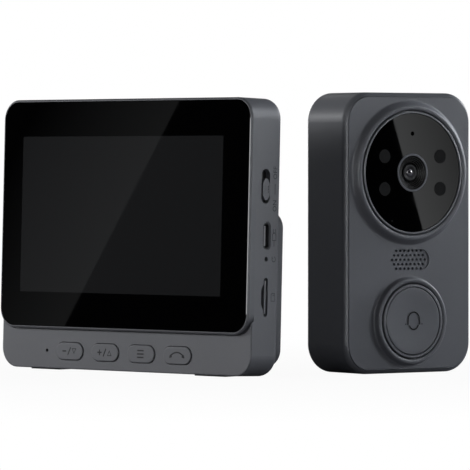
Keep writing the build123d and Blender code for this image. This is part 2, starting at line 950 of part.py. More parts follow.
def card_socket():
    outer_width = card_width + 2 * (card_fit + card_socket_wall)
    back = card_y + card_thick / 2 + card_fit + card_socket_wall
    deep = back - board_back
    x_mouth = inner_half - side_part_gap
    x_end = side_face - card_recess - card_length - card_end_gap - card_socket_end
    body = side_block(x_end, x_mouth, deep, outer_width, board_back + deep / 2, card_z)
    return body - side_block(x_end + card_socket_end, x_mouth, card_thick + 2 * card_fit,
                             card_width + 2 * card_fit, card_y, card_z)


def memory_card():
    outer = side_face - card_recess
    card = side_block(outer - card_length, outer, card_thick, card_width, card_y, card_z)
    edge = side_block(outer - card_grip, outer, card_thick + card_grip_extra, card_width,
                      card_y, card_z)
    key = side_block(outer - card_length, outer - card_length + card_step_length, card_thick,
                     card_step, card_y, card_z - card_width / 2 + card_step / 2)
    return card + edge - key


def back_cover():
    """The raised cover over the battery, with a shallow bay for the folded stand."""
    pod = slab(pod_width, pod_height, pod_deep, pod_corner, 0, monitor_depth, pod_middle)
    pod = round_rear(pod, pod_round)
    lip = slab(opening_width - 2 * opening_fit, opening_height - 2 * opening_fit, lip_deep,
               opening_corner - opening_fit, 0, monitor_depth - lip_deep, pod_middle)
    room_back = pod_back - pod_wall
    room = slab(room_width, room_height, room_back - (monitor_depth - lip_deep), room_corner,
                0, monitor_depth - lip_deep, pod_middle)
    bay_front = recess_front - stand_floor
    bay = block(recess_width + 2 * stand_frame, room_back - bay_front,
                recess_height + 2 * stand_frame, 0, bay_front, recess_middle)
    cover = pod + lip - (room - bay)
    cover -= slab(recess_width, recess_height, pod_back - recess_front, stand_corner + stand_gap,
                  0, recess_front, recess_middle)
    cover -= block(recess_width, pod_back - recess_front, recess_height / 2,
                   0, recess_front, recess_top - recess_height / 4)
    cover -= block(nail_notch_width, pod_back - recess_front, 2 * nail_notch_height,
                   0, recess_front, recess_bottom)
    half = recess_width / 2
    cover -= side_rod(-half - pin_seat, half + pin_seat, pin_radius, hinge_y, hinge_z)
    for x, z in cover_screw_places():
        cover -= disc(screw_radius + screw_clearance, pod_deep, x, monitor_depth, z)
        well = screw_head_thick + screw_head_sink
        cover -= disc(screw_head_radius + screw_clearance, well, x, pod_back - well, z)
    return cover


def cross_screw(x, seat, z, shank):
    """A pan-head screw driven from behind: its head's underside is at seat."""
    head = disc(screw_head_radius, screw_head_thick, x, seat, z)
    head = round_rear(head, screw_head_round)
    floor = seat + screw_head_thick - screw_cross_deep
    cross = block(screw_cross_long, screw_cross_deep, screw_cross_wide, x, floor, z)
    cross += block(screw_cross_wide, screw_cross_deep, screw_cross_long, x, floor, z)
    return head + disc(screw_radius, shank, x, seat - shank, z) - cross


def back_cover_screws():
    seat = pod_back - screw_head_thick - screw_head_sink
    return group(cross_screw(x, seat, z, cover_screw_length) for x, z in cover_screw_places())


def stand_leg():
    """The prop that folds out of the back: a plate with a round knuckle along its top."""
    plate_height = hinge_z - stand_bottom
    plate = slab(stand_width, plate_height + stand_corner, stand_thick, stand_corner,
                 0, stand_front, stand_bottom + (plate_height + stand_corner) / 2)
    plate -= block(stand_width + 2 * overcut, stand_thick, 2 * stand_corner,
                   0, stand_front, hinge_z + stand_corner)
    leg = plate + side_rod(-stand_width / 2, stand_width / 2, stand_thick / 2, hinge_y, hinge_z)
    for n in range(stand_grooves):
        leg -= block(stand_width * stand_groove_share, stand_groove_deep, stand_groove_width,
                     0, stand_back - stand_groove_deep,
                     stand_bottom + stand_corner + n * stand_groove_pitch)
    return leg - side_rod(-stand_width / 2, stand_width / 2, pin_radius + pin_bearing,
                          hinge_y, hinge_z)


def stand_pin():
    half = recess_width / 2 + pin_seat
    return side_rod(-half, half, pin_radius, hinge_y, hinge_z)


def monitor_battery():
    cell = slab(battery_width, battery_height, battery_thick, battery_corner,
                0, battery_front, pod_middle)
    return round_rear(round_front(cell, battery_edge), battery_edge)


def battery_pad():
    return slab(battery_width - 2 * pad_inset, battery_height - 2 * pad_end_inset, pad_thick,
                pad_corner, 0, battery_back, pod_middle)


def monitor_speaker():
    """A flat speaker in its box, against the slots in the back wall."""
    front = rear_wall_front - speaker_thick
    box = slab(speaker_width, speaker_height, speaker_thick, speaker_corner,
               speaker_x, front, speaker_z)
    return round_front(box, speaker_edge)


def wifi_antenna():
    """A flexible aerial stuck under the top wall."""
    top = monitor_height - monitor_wall
    middle = (front_wall_back + rear_wall_front) / 2
    return Pos(antenna_x, middle, top - antenna_thick / 2) * Box(
        antenna_length, antenna_width, antenna_thick)


# Doorbell

def swollen_rim(skirt_radius, hole_radius):
    """A ring that swells out of the panel to a rounded lip round a hole; its axis is Y."""
    crest = hole_radius + rim_crest
    skirt = Bezier((skirt_radius, 0), (skirt_radius - rim_ease, 0),
                   (crest + rim_shoulder, -rim_proud), (crest, -rim_proud))
    lip = Bezier((crest, -rim_proud), (hole_radius + rim_lip_pull, -rim_proud),
                 (hole_radius, -rim_proud + rim_lip))
    walls = Polyline((hole_radius, -rim_proud + rim_lip), (hole_radius, panel_thick / 2),
                     (skirt_radius, panel_thick / 2), (skirt_radius, 0))
    return revolve(make_face(skirt + lip + walls), Axis.Y)


def trim_ring(inner, outer, hole_radius, z):
    """A thin ring that stands in a rim's hole on a wider foot, which centres it."""
    ring = disc(outer, rim_seat - ring_front, 0, ring_front, z)
    ring = round_front(ring, ring_edge)
    ring += disc(hole_radius, ring_foot, 0, rim_seat - ring_foot, z)
    return ring - disc(inner, rim_seat - ring_front, 0, ring_front, z)


def grille_holes():
    """Centres of the sound holes, packed in offset rows."""
    row_step = grille_pitch * sqrt(3) / 2
    middle = (grille_rows - 1) // 2
    places = []
    for row in range(grille_rows):
        count = round(grille_middle) - abs(row - middle)
        for n in range(count):
            x = (n - (count - 1) / 2) * grille_pitch
            places.append((x, grille_z + (row - middle) * row_step))
    return places


def bell_front_panel():
    """The face plate: two raised rims, the sound holes and four screw posts behind."""
    panel = slab(doorbell_width - 2 * panel_edge, doorbell_height - 2 * panel_edge, panel_thick,
                 case_corner - panel_edge, 0, 0, doorbell_height / 2)
    camera_ledge = camera_ring_inner - rim_ledge
    rims = ((camera_z, camera_skirt_radius, camera_hole_radius, camera_ledge),
            (bell_z, bell_skirt_radius, bell_hole_radius, bell_ring_inner))
    for z, skirt, hole, ledge in rims:
        panel += Pos(0, 0, z) * swollen_rim(skirt, hole)
        panel -= disc(hole, rim_seat + rim_proud + overcut, 0, -rim_proud - overcut, z)
        panel -= disc(ledge, panel_thick, 0, 0, z)
    panel -= pill(grille_width, grille_height, grille_sunk, 0, 0, grille_z)
    for x, z in grille_holes():
        panel -= disc(grille_hole, panel_thick, x, 0, z)
    outer_width = door_speaker_width + 2 * (speaker_well_gap + speaker_well_wall)
    outer_height = door_speaker_height + 2 * (speaker_well_gap + speaker_well_wall)
    well = slab(outer_width, outer_height, speaker_well_deep,
                door_speaker_corner + speaker_well_wall, 0, panel_back, grille_z)
    panel += well - slab(outer_width - 2 * speaker_well_wall, outer_height - 2 * speaker_well_wall,
                         speaker_well_deep, door_speaker_corner, 0, panel_back, grille_z)
    for x, z in case_screw_places():
        panel += disc(boss_radius, case_post_front - panel_back, x, panel_back, z)
        panel -= disc(screw_radius, case_post_front - panel_back, x, panel_back, z)
    for x, z in camera_post_places():
        panel += disc(camera_post_radius, camera_board_front - panel_back, x, panel_back, z)
    return panel


def bell_case():
    """The tub behind the front panel, with screw posts, hook slots and a charging hole."""
    middle = doorbell_height / 2
    case = slab(doorbell_width, doorbell_height, case_deep, case_corner, 0, 0, middle)
    case = round_rear(case, case_rear_round)
    case = round_front(case, case_front_round)
    case -= slab(doorbell_width - 2 * case_rim, doorbell_height - 2 * case_rim, case_shoulder,
                 case_corner - case_rim, 0, 0, middle)
    case -= slab(doorbell_width - 2 * case_wall, doorbell_height - 2 * case_wall,
                 case_floor - case_shoulder, case_corner - case_wall, 0, case_shoulder, middle)
    for x, z in case_screw_places():
        case += disc(case_post_radius, case_floor - case_post_front, x, case_post_front, z)
        case -= disc(screw_radius + screw_clearance, case_deep - case_post_front,
                     x, case_post_front, z)
        shelf = case_post_front + case_screw_shelf
        case -= disc(screw_head_radius + screw_clearance, case_deep - shelf, x, shelf, z)
    for x, z in door_board_posts():
        case += disc(post_radius, case_floor - door_board_back, x, door_board_back, z)
    for z in battery_ribs():
        case += block(2 * (hook_x - hook_width / 2), battery_rib_height, battery_rib_thick,
                      0, door_battery_back, z)
    slot_width = hook_width + 2 * hook_gap
    for x, z in hook_places():
        top = z + hook_neck + hook_gap
        bottom = z + hook_gap - lift_off - hook_lip - hook_slot_spare
        case -= block(slot_width, case_back_wall, top - bottom, x, case_floor, (top + bottom) / 2)
    for side in (-1, 1):
        case -= disc(bracket_head_radius + head_pocket_margin, head_pocket, 0, case_deep - head_pocket,
                     bracket_middle + side * bracket_hole_pitch / 2)
    outside = doorbell_width / 2 + overcut
    case -= side_pill(doorbell_width / 2 - case_wall, outside,
                      plug_hole_across, plug_hole_length, charge_y, charge_z)
    case -= side_pill(doorbell_width / 2 - plug_thick, outside, plug_hole_across + 2 * plug_flange,
                      plug_hole_length + 2 * plug_flange, charge_y, charge_z)
    return case


def door_board_posts():
    heights = (door_board_top - door_post_high_drop, door_board_top - door_post_low_drop)
    return [(side * door_post_x, z) for side in (-1, 1) for z in heights]


def battery_ribs():
    return [door_battery_bottom + battery_rib_inset, door_battery_top - battery_rib_inset]


def case_gasket():
    """A silicone ring squeezed between the case's shoulder and the panel."""
    middle = doorbell_height / 2
    ring = slab(doorbell_width - 2 * panel_edge, doorbell_height - 2 * panel_edge,
                case_gasket_thick, case_corner - panel_edge, 0, panel_back, middle)
    return ring - slab(doorbell_width - 2 * case_wall, doorbell_height - 2 * case_wall,
                       case_gasket_thick, case_corner - case_wall, 0, panel_back, middle)


def camera_trim_ring():
    ring = trim_ring(camera_ring_inner, camera_ring_outer, camera_hole_radius, camera_z)
    shelf = disc(camera_ring_outer, rim_seat - window_back, 0, window_back, camera_z)
    return ring + shelf - disc(camera_ring_inner - rim_ledge, rim_seat - window_back,
                               0, window_back, camera_z)


def camera_window():
    """The black cover disc, with holes for the lens ring and the microphone."""
    window = disc(window_radius, window_thick, 0, window_front, camera_z)
    window = bevel_front(window, window_edge)
    window -= disc(lens_ring_radius + window_fit, window_thick, 0, window_front, camera_z)
    window -= disc(door_mic_hole, window_thick, 0, window_front, camera_z + door_mic_up)
    for x, z in infrared_places():
        window -= disc(infrared_radius, infrared_thinning, x, window_front, z)
    return window


def lens_ring():
    """The funnel in the middle of the window that looks down on the lens."""
    ring = disc(lens_ring_radius, lens_ring_deep, 0, lens_front, camera_z)
    ring = round_front(ring, lens_ring_edge)
    ring += disc(lens_ring_radius + lens_ring_flange, lens_ring_flange_thick,
                 0, window_back, camera_z)
    ring -= taper(lens_ring_radius - lens_ring_wall, lens_cone_end,
                  lens_ring_deep - lens_cone_short, 0, lens_front, camera_z)
    return ring - disc(lens_cone_end, lens_ring_deep, 0, lens_front, camera_z)


def lens_glass():
    """The front element: a thin disc with a domed face, held in the barrel's mouth."""
    edge = lens_ring_back - lens_glass_edge
    ball = (lens_glass_radius ** 2 + lens_glass_crown ** 2) / (2 * lens_glass_crown)
    dome = Pos(0, edge - lens_glass_crown + ball, camera_z) * Sphere(ball)
    rod = disc(lens_glass_radius, lens_glass_crown, 0, edge - lens_glass_crown, camera_z)
    return (dome & rod) + disc(lens_glass_radius, lens_glass_edge, 0, edge, camera_z)


def lens_barrel():
    return disc(lens_barrel_radius, lens_barrel_length, 0, lens_ring_back, camera_z)


def lens_holder():
    """The square mount that the barrel is threaded into, standing on the main board."""
    holder = slab(lens_holder_size, lens_holder_size, lens_holder_deep, lens_holder_corner,
                  0, lens_holder_front, camera_z)
    holder -= disc(lens_barrel_radius, lens_holder_deep - sensor_thick - lens_thread_short,
                   0, lens_holder_front, camera_z)
    light_way = sensor_width + 2 * sensor_room
    return holder - block(light_way, lens_holder_deep, light_way, 0, lens_holder_front, camera_z)


def image_sensor():
    return block(sensor_width, sensor_thick, sensor_width,
                 0, door_board_front - sensor_thick, camera_z)


def infrared_lamps():
    """Four round lamps: a flanged foot on the board and a domed body behind the window."""
    lamps = []
    tip = window_back + infrared_gap
    for x, z in infrared_places():
        body = disc(infrared_radius, camera_board_front - tip, x, tip, z)
        body = round_front(body, infrared_dome)
        foot = disc(infrared_radius + infrared_flange, infrared_flange_thick,
                    x, camera_board_front - infrared_flange_thick, z)
        lamps.append(body + foot)
    return group(lamps)


def camera_board():
    """The board round the lens that carries the lamps, the microphone and the light sensor."""
    height = camera_board_up + camera_board_down
    middle = camera_z + (camera_board_up - camera_board_down) / 2
    board = slab(camera_board_width, height, camera_board_thick, camera_board_corner,
                 0, camera_board_front, middle)
    return board - disc(lens_barrel_radius + lens_barrel_room, camera_board_thick,
                        0, camera_board_front, camera_z)


def light_sensor():
    return block(light_sensor_size, light_sensor_thick, light_sensor_size, light_sensor_x,
                 camera_board_front - light_sensor_thick, camera_z - light_sensor_down)


def bell_microphone():
    """A capsule in a rubber boot that reaches from the board to the window."""
    deep = camera_board_front - window_back
    boot = disc(door_mic_radius, deep, 0, window_back, camera_z + door_mic_up)
    return boot - disc(door_mic_hole, deep - door_mic_capsule, 0, window_back,
                       camera_z + door_mic_up)


def bell_speaker():
    box = slab(door_speaker_width, door_speaker_height, door_speaker_thick, door_speaker_corner,
               0, panel_back + mesh_thick, grille_z)
    return round_rear(box, speaker_edge)


def grille_mesh():
    return slab(door_speaker_width, door_speaker_height, mesh_thick, door_speaker_corner,
                0, panel_back, grille_z)


def bell_button_cap():
    """The big round call button: dished face, retaining flange and centre stem."""
    front = -bell_proud
    cap = disc(bell_radius, bell_flange_front - front, 0, front, bell_z)
    cap = round_front(cap, bell_edge)
    reach = bell_radius - bell_dish_inset
    ball = (reach ** 2 + bell_dish ** 2) / (2 * bell_dish)
    cap -= Pos(0, front + bell_dish - ball, bell_z) * Sphere(ball)
    cap += disc(bell_ring_inner + bell_flange, bell_flange_thick, 0, bell_flange_front, bell_z)
    return cap + disc(bell_stem_radius, bell_stem_back - bell_flange_back,
                      0, bell_flange_back, bell_z)


def bell_button_ring():
    return trim_ring(bell_ring_inner, bell_ring_outer, bell_hole_radius, bell_z)


def bell_switch():
    body = slab(bell_switch_size, bell_switch_size, bell_switch_deep, bell_switch_corner,
                0, bell_switch_front, bell_z)
    return body - disc(bell_stem_radius + switch_bore_gap, bell_switch_deep - bell_switch_floor,
                       0, bell_switch_front, bell_z)


def bell_board():
    """The lower board: it carries the call switch and the charging socket."""
    board = slab(bell_board_width, bell_board_height, bell_board_thick, board_corner,
                 0, bell_board_front, bell_z)
    for x, z in case_screw_places():
        board -= disc(case_post_radius + case_post_room, bell_board_thick, x, bell_board_front, z)
    return board


def charge_port():
    mouth = doorbell_width / 2 - case_wall - charge_wall_gap
    return usb_receptacle(mouth, mouth - usb_deep, charge_y, charge_z)


def port_plug():
    """A rubber stopper: a flat cap in its recess and a nose that fills the hole."""
    outer = doorbell_width / 2
    cap = side_pill(outer - plug_thick, outer, plug_hole_across + 2 * (plug_flange - plug_gap),
                    plug_hole_length + 2 * (plug_flange - plug_gap), charge_y, charge_z)
    nose = side_pill(outer - plug_thick - plug_nose, outer - plug_thick,
                     plug_hole_across - 2 * plug_gap, plug_hole_length - 2 * plug_gap,
                     charge_y, charge_z)
    grip = side_block(outer - plug_grip_deep, outer, plug_hole_across / 2, plug_grip_width,
                      charge_y, charge_z - plug_hole_length / 2)
    return cap + nose - grip


def bell_main_board():
    """The upper board that carries the lens mount, notched round the case's screw posts."""
    board = slab(door_board_width, door_board_height, door_board_thick, board_corner,
                 0, door_board_front, door_board_middle)
    for x, z in case_screw_places():
        board -= disc(case_post_radius + case_post_room, door_board_thick, x, door_board_front, z)
    return board


def bell_board_parts():
    """Shield can, radio module and a ribbon socket on the front of the upper board."""
    return group(board_part(size, door_board_front, door_board_middle, forwards=1)
                 for size in (camera_shield, radio_module, camera_ribbon))


def bell_battery():
    cell = slab(door_battery_width, door_battery_height, door_battery_thick, battery_corner,
                0, door_battery_front, (door_battery_bottom + door_battery_top) / 2)
    return round_rear(round_front(cell, battery_edge), battery_edge)


def battery_foam():
    return slab(door_battery_width - 2 * battery_foam_side,
                bell_board_height - 2 * battery_foam_end, battery_foam_thick, pad_corner,
                0, bell_board_back, bell_z)


def bell_screws():
    """Four long screws, driven from behind into the front panel's posts."""
    seat = case_post_front + case_screw_shelf
    return group(cross_screw(x, seat, z, case_screw_length) for x, z in case_screw_places())


def wall_bracket():
    """The plate that stays on the wall: two screw holes and four upturned hooks."""
    plate = slab(doorbell_width - 2 * bracket_inset, doorbell_height - 2 * bracket_inset,
                 bracket_thick, bracket_corner, 0, bracket_front, bracket_middle)
    plate = round_rear(plate, bracket_edge)
    for x, z in hook_places():
        lip_front = case_floor - hook_gap - hook_lip_thick
        plate += block(hook_width, bracket_front - lip_front, hook_neck, x, lip_front,
                       z + hook_neck / 2)
        plate += block(hook_width, hook_lip_thick, hook_neck + hook_lip, x, lip_front,
                       z + (hook_neck + hook_lip) / 2)
    for side in (-1, 1):
        z = bracket_middle + side * bracket_hole_pitch / 2
        plate -= disc(bracket_hole_radius, bracket_thick, 0, bracket_front, z)
        plate -= taper(bracket_head_radius, bracket_hole_radius, bracket_head_deep,
                       0, bracket_front, z)
    return plate


# Standing the two units side by side

def monitor_place():
    """Leaned back, turned, and lifted until the feet's soles meet the ground."""
    lift = foot_stand + (monitor_depth - monitor_rear_round) * sin(radians(monitor_lean))
    return Pos(0, 0, lift) * Rot(0, 0, monitor_yaw) * Rot(-monitor_lean, 0, 0)


def doorbell_place():
    """Turned the other way, a finger's width to the right of the monitor."""
    turn, swing = radians(monitor_yaw), radians(doorbell_yaw)
    reach_right = monitor_width / 2 * cos(turn) - monitor_depth * sin(turn)
    reach_left = doorbell_width / 2 * cos(swing) + bracket_back * sin(swing)
    return Pos(reach_right + unit_gap + reach_left, -doorbell_forward, 0) * Rot(0, 0, doorbell_yaw)


button_names = ["volume_down_button", "volume_up_button", "menu_button", "talk_button"]

monitor_pieces = {
    "monitor_housing": monitor_housing,
    "screen_bezel": screen_bezel,
    "screen_glass": screen_glass,
    "screen_tape": screen_tape,
    "lcd_foam": lcd_foam,
    "lcd_panel": lcd_panel,
    "lcd_backlight": lcd_backlight,
    "lcd_carrier": lcd_carrier,
    "main_board": main_board,
    "board_parts": board_parts,
    "small_screws": small_screws,
    "key_switches": key_switches,
    "monitor_microphone": monitor_microphone,
    "power_switch_body": power_switch_body,
    "power_switch_knob": power_switch_knob,
    "usb_port": usb_port,
    "reset_key": reset_key,
    "card_socket": card_socket,
    "memory_card": memory_card,
    "back_cover": back_cover,
    "back_cover_screws": back_cover_screws,
    "stand_leg": stand_leg,
    "stand_pin": stand_pin,
    "monitor_battery": monitor_battery,
    "battery_pad": battery_pad,
    "monitor_speaker": monitor_speaker,
    "wifi_antenna": wifi_antenna,
}

doorbell_pieces = {
    "bell_case": bell_case,
    "bell_front_panel": bell_front_panel,
    "case_gasket": case_gasket,
    "camera_trim_ring": camera_trim_ring,
    "camera_window": camera_window,
    "lens_ring": lens_ring,
    "lens_glass": lens_glass,
    "lens_barrel": lens_barrel,
    "lens_holder": lens_holder,
    "image_sensor": image_sensor,
    "infrared_lamps": infrared_lamps,
    "camera_board": camera_board,
    "light_sensor": light_sensor,
    "bell_microphone": bell_microphone,
    "bell_speaker": bell_speaker,
    "grille_mesh": grille_mesh,
    "bell_button_cap": bell_button_cap,
    "bell_button_ring": bell_button_ring,
    "bell_switch": bell_switch,
    "bell_board": bell_board,
    "charge_port": charge_port,
    "port_plug": port_plug,
    "bell_main_board": bell_main_board,
    "bell_board_parts": bell_board_parts,
    "bell_battery": bell_battery,
    "battery_foam": battery_foam,
    "bell_screws": bell_screws,
    "wall_bracket": wall_bracket,
}


def standing_pieces():
    """Every piece in its place, before the pair is centred on the origin."""
    placed = {"monitor_feet": monitor_feet()}
    for name, make in monitor_pieces.items():
        placed[name] = monitor_place() * make()
    for name, x in zip(button_names, button_places()):
        placed[name] = monitor_place() * front_button(x)
    for name, make in doorbell_pieces.items():
        placed[name] = doorbell_place() * make()
    return placed


def centring(placed):
    """The move that puts the middle of the pair's footprint on the origin."""
    boxes = [piece.bounding_box() for piece in placed.values()]
    low_x = min(box.min.X for box in boxes)
    high_x = max(box.max.X for box in boxes)
    low_y = min(box.min.Y for box in boxes)
    high_y = max(box.max.Y for box in boxes)
    return Pos(-(low_x + high_x) / 2, -(low_y + high_y) / 2, 0)


pieces = standing_pieces()
move = centring(pieces)
os.makedirs("parts", exist_ok=True)
for name, piece in pieces.items():
    export_step(move * piece, f"parts/{name}.step")
print(f"{len(pieces)} pieces written")
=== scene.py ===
# %% [markdown]
# A video doorbell and its indoor monitor, two moulded units that stand side by side. Every rigid part
# is already modelled at its real size, so Blender adds what a camera sees: the grain of the
# plastic, the depth of the black glass, the inked signs, the lens, and the studio around them.
# The scene starts empty, because the default cube would be measured as part of the object.

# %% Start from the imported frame
import json
from math import cos, pi, radians, sin

import bmesh
import bpy
from mathutils import Matrix, Vector

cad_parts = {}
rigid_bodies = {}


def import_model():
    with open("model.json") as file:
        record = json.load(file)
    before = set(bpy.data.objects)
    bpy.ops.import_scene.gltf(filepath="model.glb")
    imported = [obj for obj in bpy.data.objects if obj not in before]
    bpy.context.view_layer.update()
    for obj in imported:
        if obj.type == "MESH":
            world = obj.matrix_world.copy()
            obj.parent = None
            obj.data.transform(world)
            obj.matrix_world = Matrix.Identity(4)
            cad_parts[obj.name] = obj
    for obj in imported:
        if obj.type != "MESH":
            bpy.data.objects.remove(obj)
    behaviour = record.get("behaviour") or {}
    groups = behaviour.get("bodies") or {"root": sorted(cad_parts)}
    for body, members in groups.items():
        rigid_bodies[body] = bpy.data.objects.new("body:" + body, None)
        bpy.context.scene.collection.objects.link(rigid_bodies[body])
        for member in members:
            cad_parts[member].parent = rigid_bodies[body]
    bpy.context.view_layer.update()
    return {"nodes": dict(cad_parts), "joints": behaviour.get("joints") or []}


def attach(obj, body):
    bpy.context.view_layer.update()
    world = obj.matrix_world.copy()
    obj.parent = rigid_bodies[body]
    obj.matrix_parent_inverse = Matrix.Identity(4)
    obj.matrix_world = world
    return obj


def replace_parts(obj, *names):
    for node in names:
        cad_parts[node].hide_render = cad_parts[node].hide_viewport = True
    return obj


for leftover in list(bpy.data.objects):
    bpy.data.objects.remove(leftover)
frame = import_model()
MM = 0.001
print("pieces in the frame:", len(frame["nodes"]))

# %% [markdown]
# Each unit stands at its own angle, and the monitor also leans back a little. Signs and patterns are
# far easier to place in a unit's own directions: to its right, into its front face, and up. The frame's
# joints know these directions, since the keys press straight in and the switch slides straight up, so
# the two unit frames are read from them and nothing is guessed.


# %% Directions and places on each unit
def joint_axis(name):
    """The direction in which a joint moves."""
    joint = next(joint for joint in frame["joints"] if joint["name"] == name)
    return Vector(joint["axis"]).normalized()


class Unit:
    """One housing's own millimetres: x to its right, y into its front face, z up."""

    def __init__(self, shell, right, into, up):
        self.axes = (right, into, up)
        corners = [vertex.co for vertex in frame["nodes"][shell].data.vertices]
        reach = [[axis.dot(corner) for corner in corners] for axis in self.axes]
        home = (min(reach[0]) + max(reach[0])) / 2, min(reach[1]), min(reach[2])
        self.origin = sum((axis * value for axis, value in zip(self.axes, home)), Vector())
        turn = Matrix(self.axes).transposed()
        self.angles = turn.to_euler()
        self.place = Matrix.Translation(self.origin) @ turn.to_4x4() @ Matrix.Scale(MM, 4)

    def spans(self, node):
        """The lowest and highest value of a node along each of the unit's directions."""
        corners = [vertex.co - self.origin for vertex in frame["nodes"][node].data.vertices]
        along = [[axis.dot(corner) / MM for corner in corners] for axis in self.axes]
        return [(min(values), max(values)) for values in along]

    def centre(self, node):
        """The middle of a node, but with its front face as the depth."""
        across, depth, height = self.spans(node)
        return Vector((sum(across) / 2, depth[0], sum(height) / 2))


monitor_axes = [joint_axis(name) for name in ("card_slide", "menu_press", "power_slide")]
monitor = Unit("monitor_housing", *monitor_axes)
doorbell = Unit("bell_case", joint_axis("plug_pull"), joint_axis("bell_press"), Vector((0, 0, 1)))
print("monitor stands at", monitor.origin, "and the doorbell at", doorbell.origin)

# %% [markdown]
# The photograph is taken from far away with a long lens: the upright edges stay upright, so the
# camera is level, and it sees both units a little from above. A level camera that is shifted down keeps
# those edges parallel, where a camera that tilts would make them lean.

# %% Camera
IMAGE_WIDTH = 470
CAMERA_ASIDE, CAMERA_AWAY, CAMERA_HEIGHT = 38.3, 1500.0, 70.95
HORIZON_ROW = 165
SENSOR_WIDTH = 36.0
PIXELS_PER_MM = 2.928

camera_data = bpy.data.cameras.new("camera")
camera = bpy.data.objects.new("camera", camera_data)
bpy.context.scene.collection.objects.link(camera)
bpy.context.scene.camera = camera
camera.location = (
    monitor.origin.x + CAMERA_ASIDE * MM,
    monitor.origin.y - CAMERA_AWAY * MM,
    CAMERA_HEIGHT * MM,
)
camera.rotation_euler = (radians(90), 0, 0)
camera_data.sensor_width = SENSOR_WIDTH
camera_data.lens = SENSOR_WIDTH * PIXELS_PER_MM * CAMERA_AWAY / IMAGE_WIDTH
camera_data.shift_y = (HORIZON_ROW - IMAGE_WIDTH / 2) / IMAGE_WIDTH
camera_data.clip_start = 0.1
camera_data.clip_end = 20.0
print("lens", round(camera_data.lens, 1), "mm, shift", round(camera_data.shift_y, 3))

# %% [markdown]
# The studio has a pale floor that melts into a white background. Shining more lamps at the floor would
# also bleach the object, so the Light Path node does it instead: rays that come straight from the camera
# find the floor almost white near the object, where its faint shadow stays, and fully white further out.
# A mirror or a glass finds the same white background around the floor.


# %% Helpers for node trees
def add(tree, kind, inputs=None, **settings):
    """Adds one node. An input is given a value, or another node's output to be linked to."""
    node = tree.nodes.new(kind)
    for key, value in settings.items():
        setattr(node, key, value)
    for key, value in (inputs or {}).items():
        if isinstance(value, bpy.types.NodeSocket):
            tree.links.new(value, node.inputs[key])
        else:
            node.inputs[key].default_value = value
    return node


def calculate(tree, operation, first, second=0.0, third=0.0):
    """One Math node's result."""
    return add(tree, "ShaderNodeMath", {0: first, 1: second, 2: third}, operation=operation).outputs[0]


def ramp(tree, value, start, end, low=0.0, high=1.0):
    """The value, stretched so that start becomes low and end becomes high, and held there outside."""
    limits = {"Value": value, "From Min": start, "From Max": end, "To Min": low, "To Max": high}
    return add(tree, "ShaderNodeMapRange", limits).outputs[0]


def mirrored_or_clear(tree):
    """1 for rays that arrive by way of a mirror or a glass, and 0 for all others."""
    path = add(tree, "ShaderNodeLightPath")
    return calculate(tree, "MAXIMUM", path.outputs["Is Glossy Ray"], path.outputs["Is Transmission Ray"])


# %% World and floor
AMBIENT = (0.065, 0.067, 0.072, 1.0)
FLOOR_COLOUR = (0.30, 0.30, 0.31, 1.0)
FLOOR_WHITENESS = 0.95
FLOOR_SIZE = 12.0
SHADOW_REACH, WHITE_REACH = 0.06, 0.30

world = bpy.data.worlds.new("studio")
bpy.context.scene.world = world
world.use_nodes = True
sky = world.node_tree
sky.nodes.clear()
ambient = add(sky, "ShaderNodeBackground", {"Color": AMBIENT})
white = add(sky, "ShaderNodeBackground", {"Color": (1, 1, 1, 1)})
sky_path = add(sky, "ShaderNodeLightPath")
seen = calculate(sky, "MAXIMUM", sky_path.outputs["Is Camera Ray"], mirrored_or_clear(sky))
either_sky = add(sky, "ShaderNodeMixShader", {0: seen, 1: ambient.outputs[0], 2: white.outputs[0]})
add(sky, "ShaderNodeOutputWorld", {"Surface": either_sky.outputs[0]})

floor_material = bpy.data.materials.new("pale_floor")
floor_material.use_nodes = True
ground = floor_material.node_tree
ground.nodes.clear()
spot = add(ground, "ShaderNodeTexCoord").outputs["Object"]
distance = add(ground, "ShaderNodeVectorMath", {0: spot}, operation="LENGTH").outputs["Value"]
for_camera = calculate(ground, "MULTIPLY", add(ground, "ShaderNodeLightPath").outputs["Is Camera Ray"],
                       ramp(ground, distance, SHADOW_REACH, WHITE_REACH, FLOOR_WHITENESS, 1.0))
for_mirrors = calculate(ground, "MULTIPLY", mirrored_or_clear(ground),
                        ramp(ground, distance, WHITE_REACH, 3 * WHITE_REACH))
matt = add(ground, "ShaderNodeBsdfDiffuse", {"Color": FLOOR_COLOUR})
glow = add(ground, "ShaderNodeEmission", {"Color": (1, 1, 1, 1)})
floor_mix = add(ground, "ShaderNodeMixShader", {0: calculate(ground, "ADD", for_camera, for_mirrors),
                                                1: matt.outputs[0], 2: glow.outputs[0]})
add(ground, "ShaderNodeOutputMaterial", {"Surface": floor_mix.outputs[0]})

bpy.ops.mesh.primitive_plane_add(size=FLOOR_SIZE)
floor = bpy.context.object
floor.name = "floor"
floor.data.materials.append(floor_material)
bpy.context.scene.view_settings.view_transform = "Standard"
print("floor turns white", WHITE_REACH, "m from the middle")

# %% [markdown]
# The two fronts look away from each other, and the two side walls between them look at each other. Two
# lamps at the left and the right light a front each. Two smaller ones, further back, rake over the side
# walls: each unit keeps the light off the lower part of the other's wall, which gives the fall from light
# to dark that the photograph has. A weak lamp in front fills both faces, and one behind shows the backs to
# a camera that walks round.


# %% Lamps
LAMP_TARGET = Vector((0, 0, 0.05))


def soft_lamp(name, place, size, power, colour):
    """A square softbox that faces the object and that the camera doesn't see. Metres and watts."""
    data = bpy.data.lights.new(name, "AREA")
    data.shape = "SQUARE"
    data.size = size
    data.energy = power
    data.color = colour
    lamp = bpy.data.objects.new(name, data)
    bpy.context.scene.collection.objects.link(lamp)
    lamp.location = place
    lamp.rotation_euler = (LAMP_TARGET - lamp.location).to_track_quat("-Z", "Y").to_euler()
    lamp.visible_camera = False


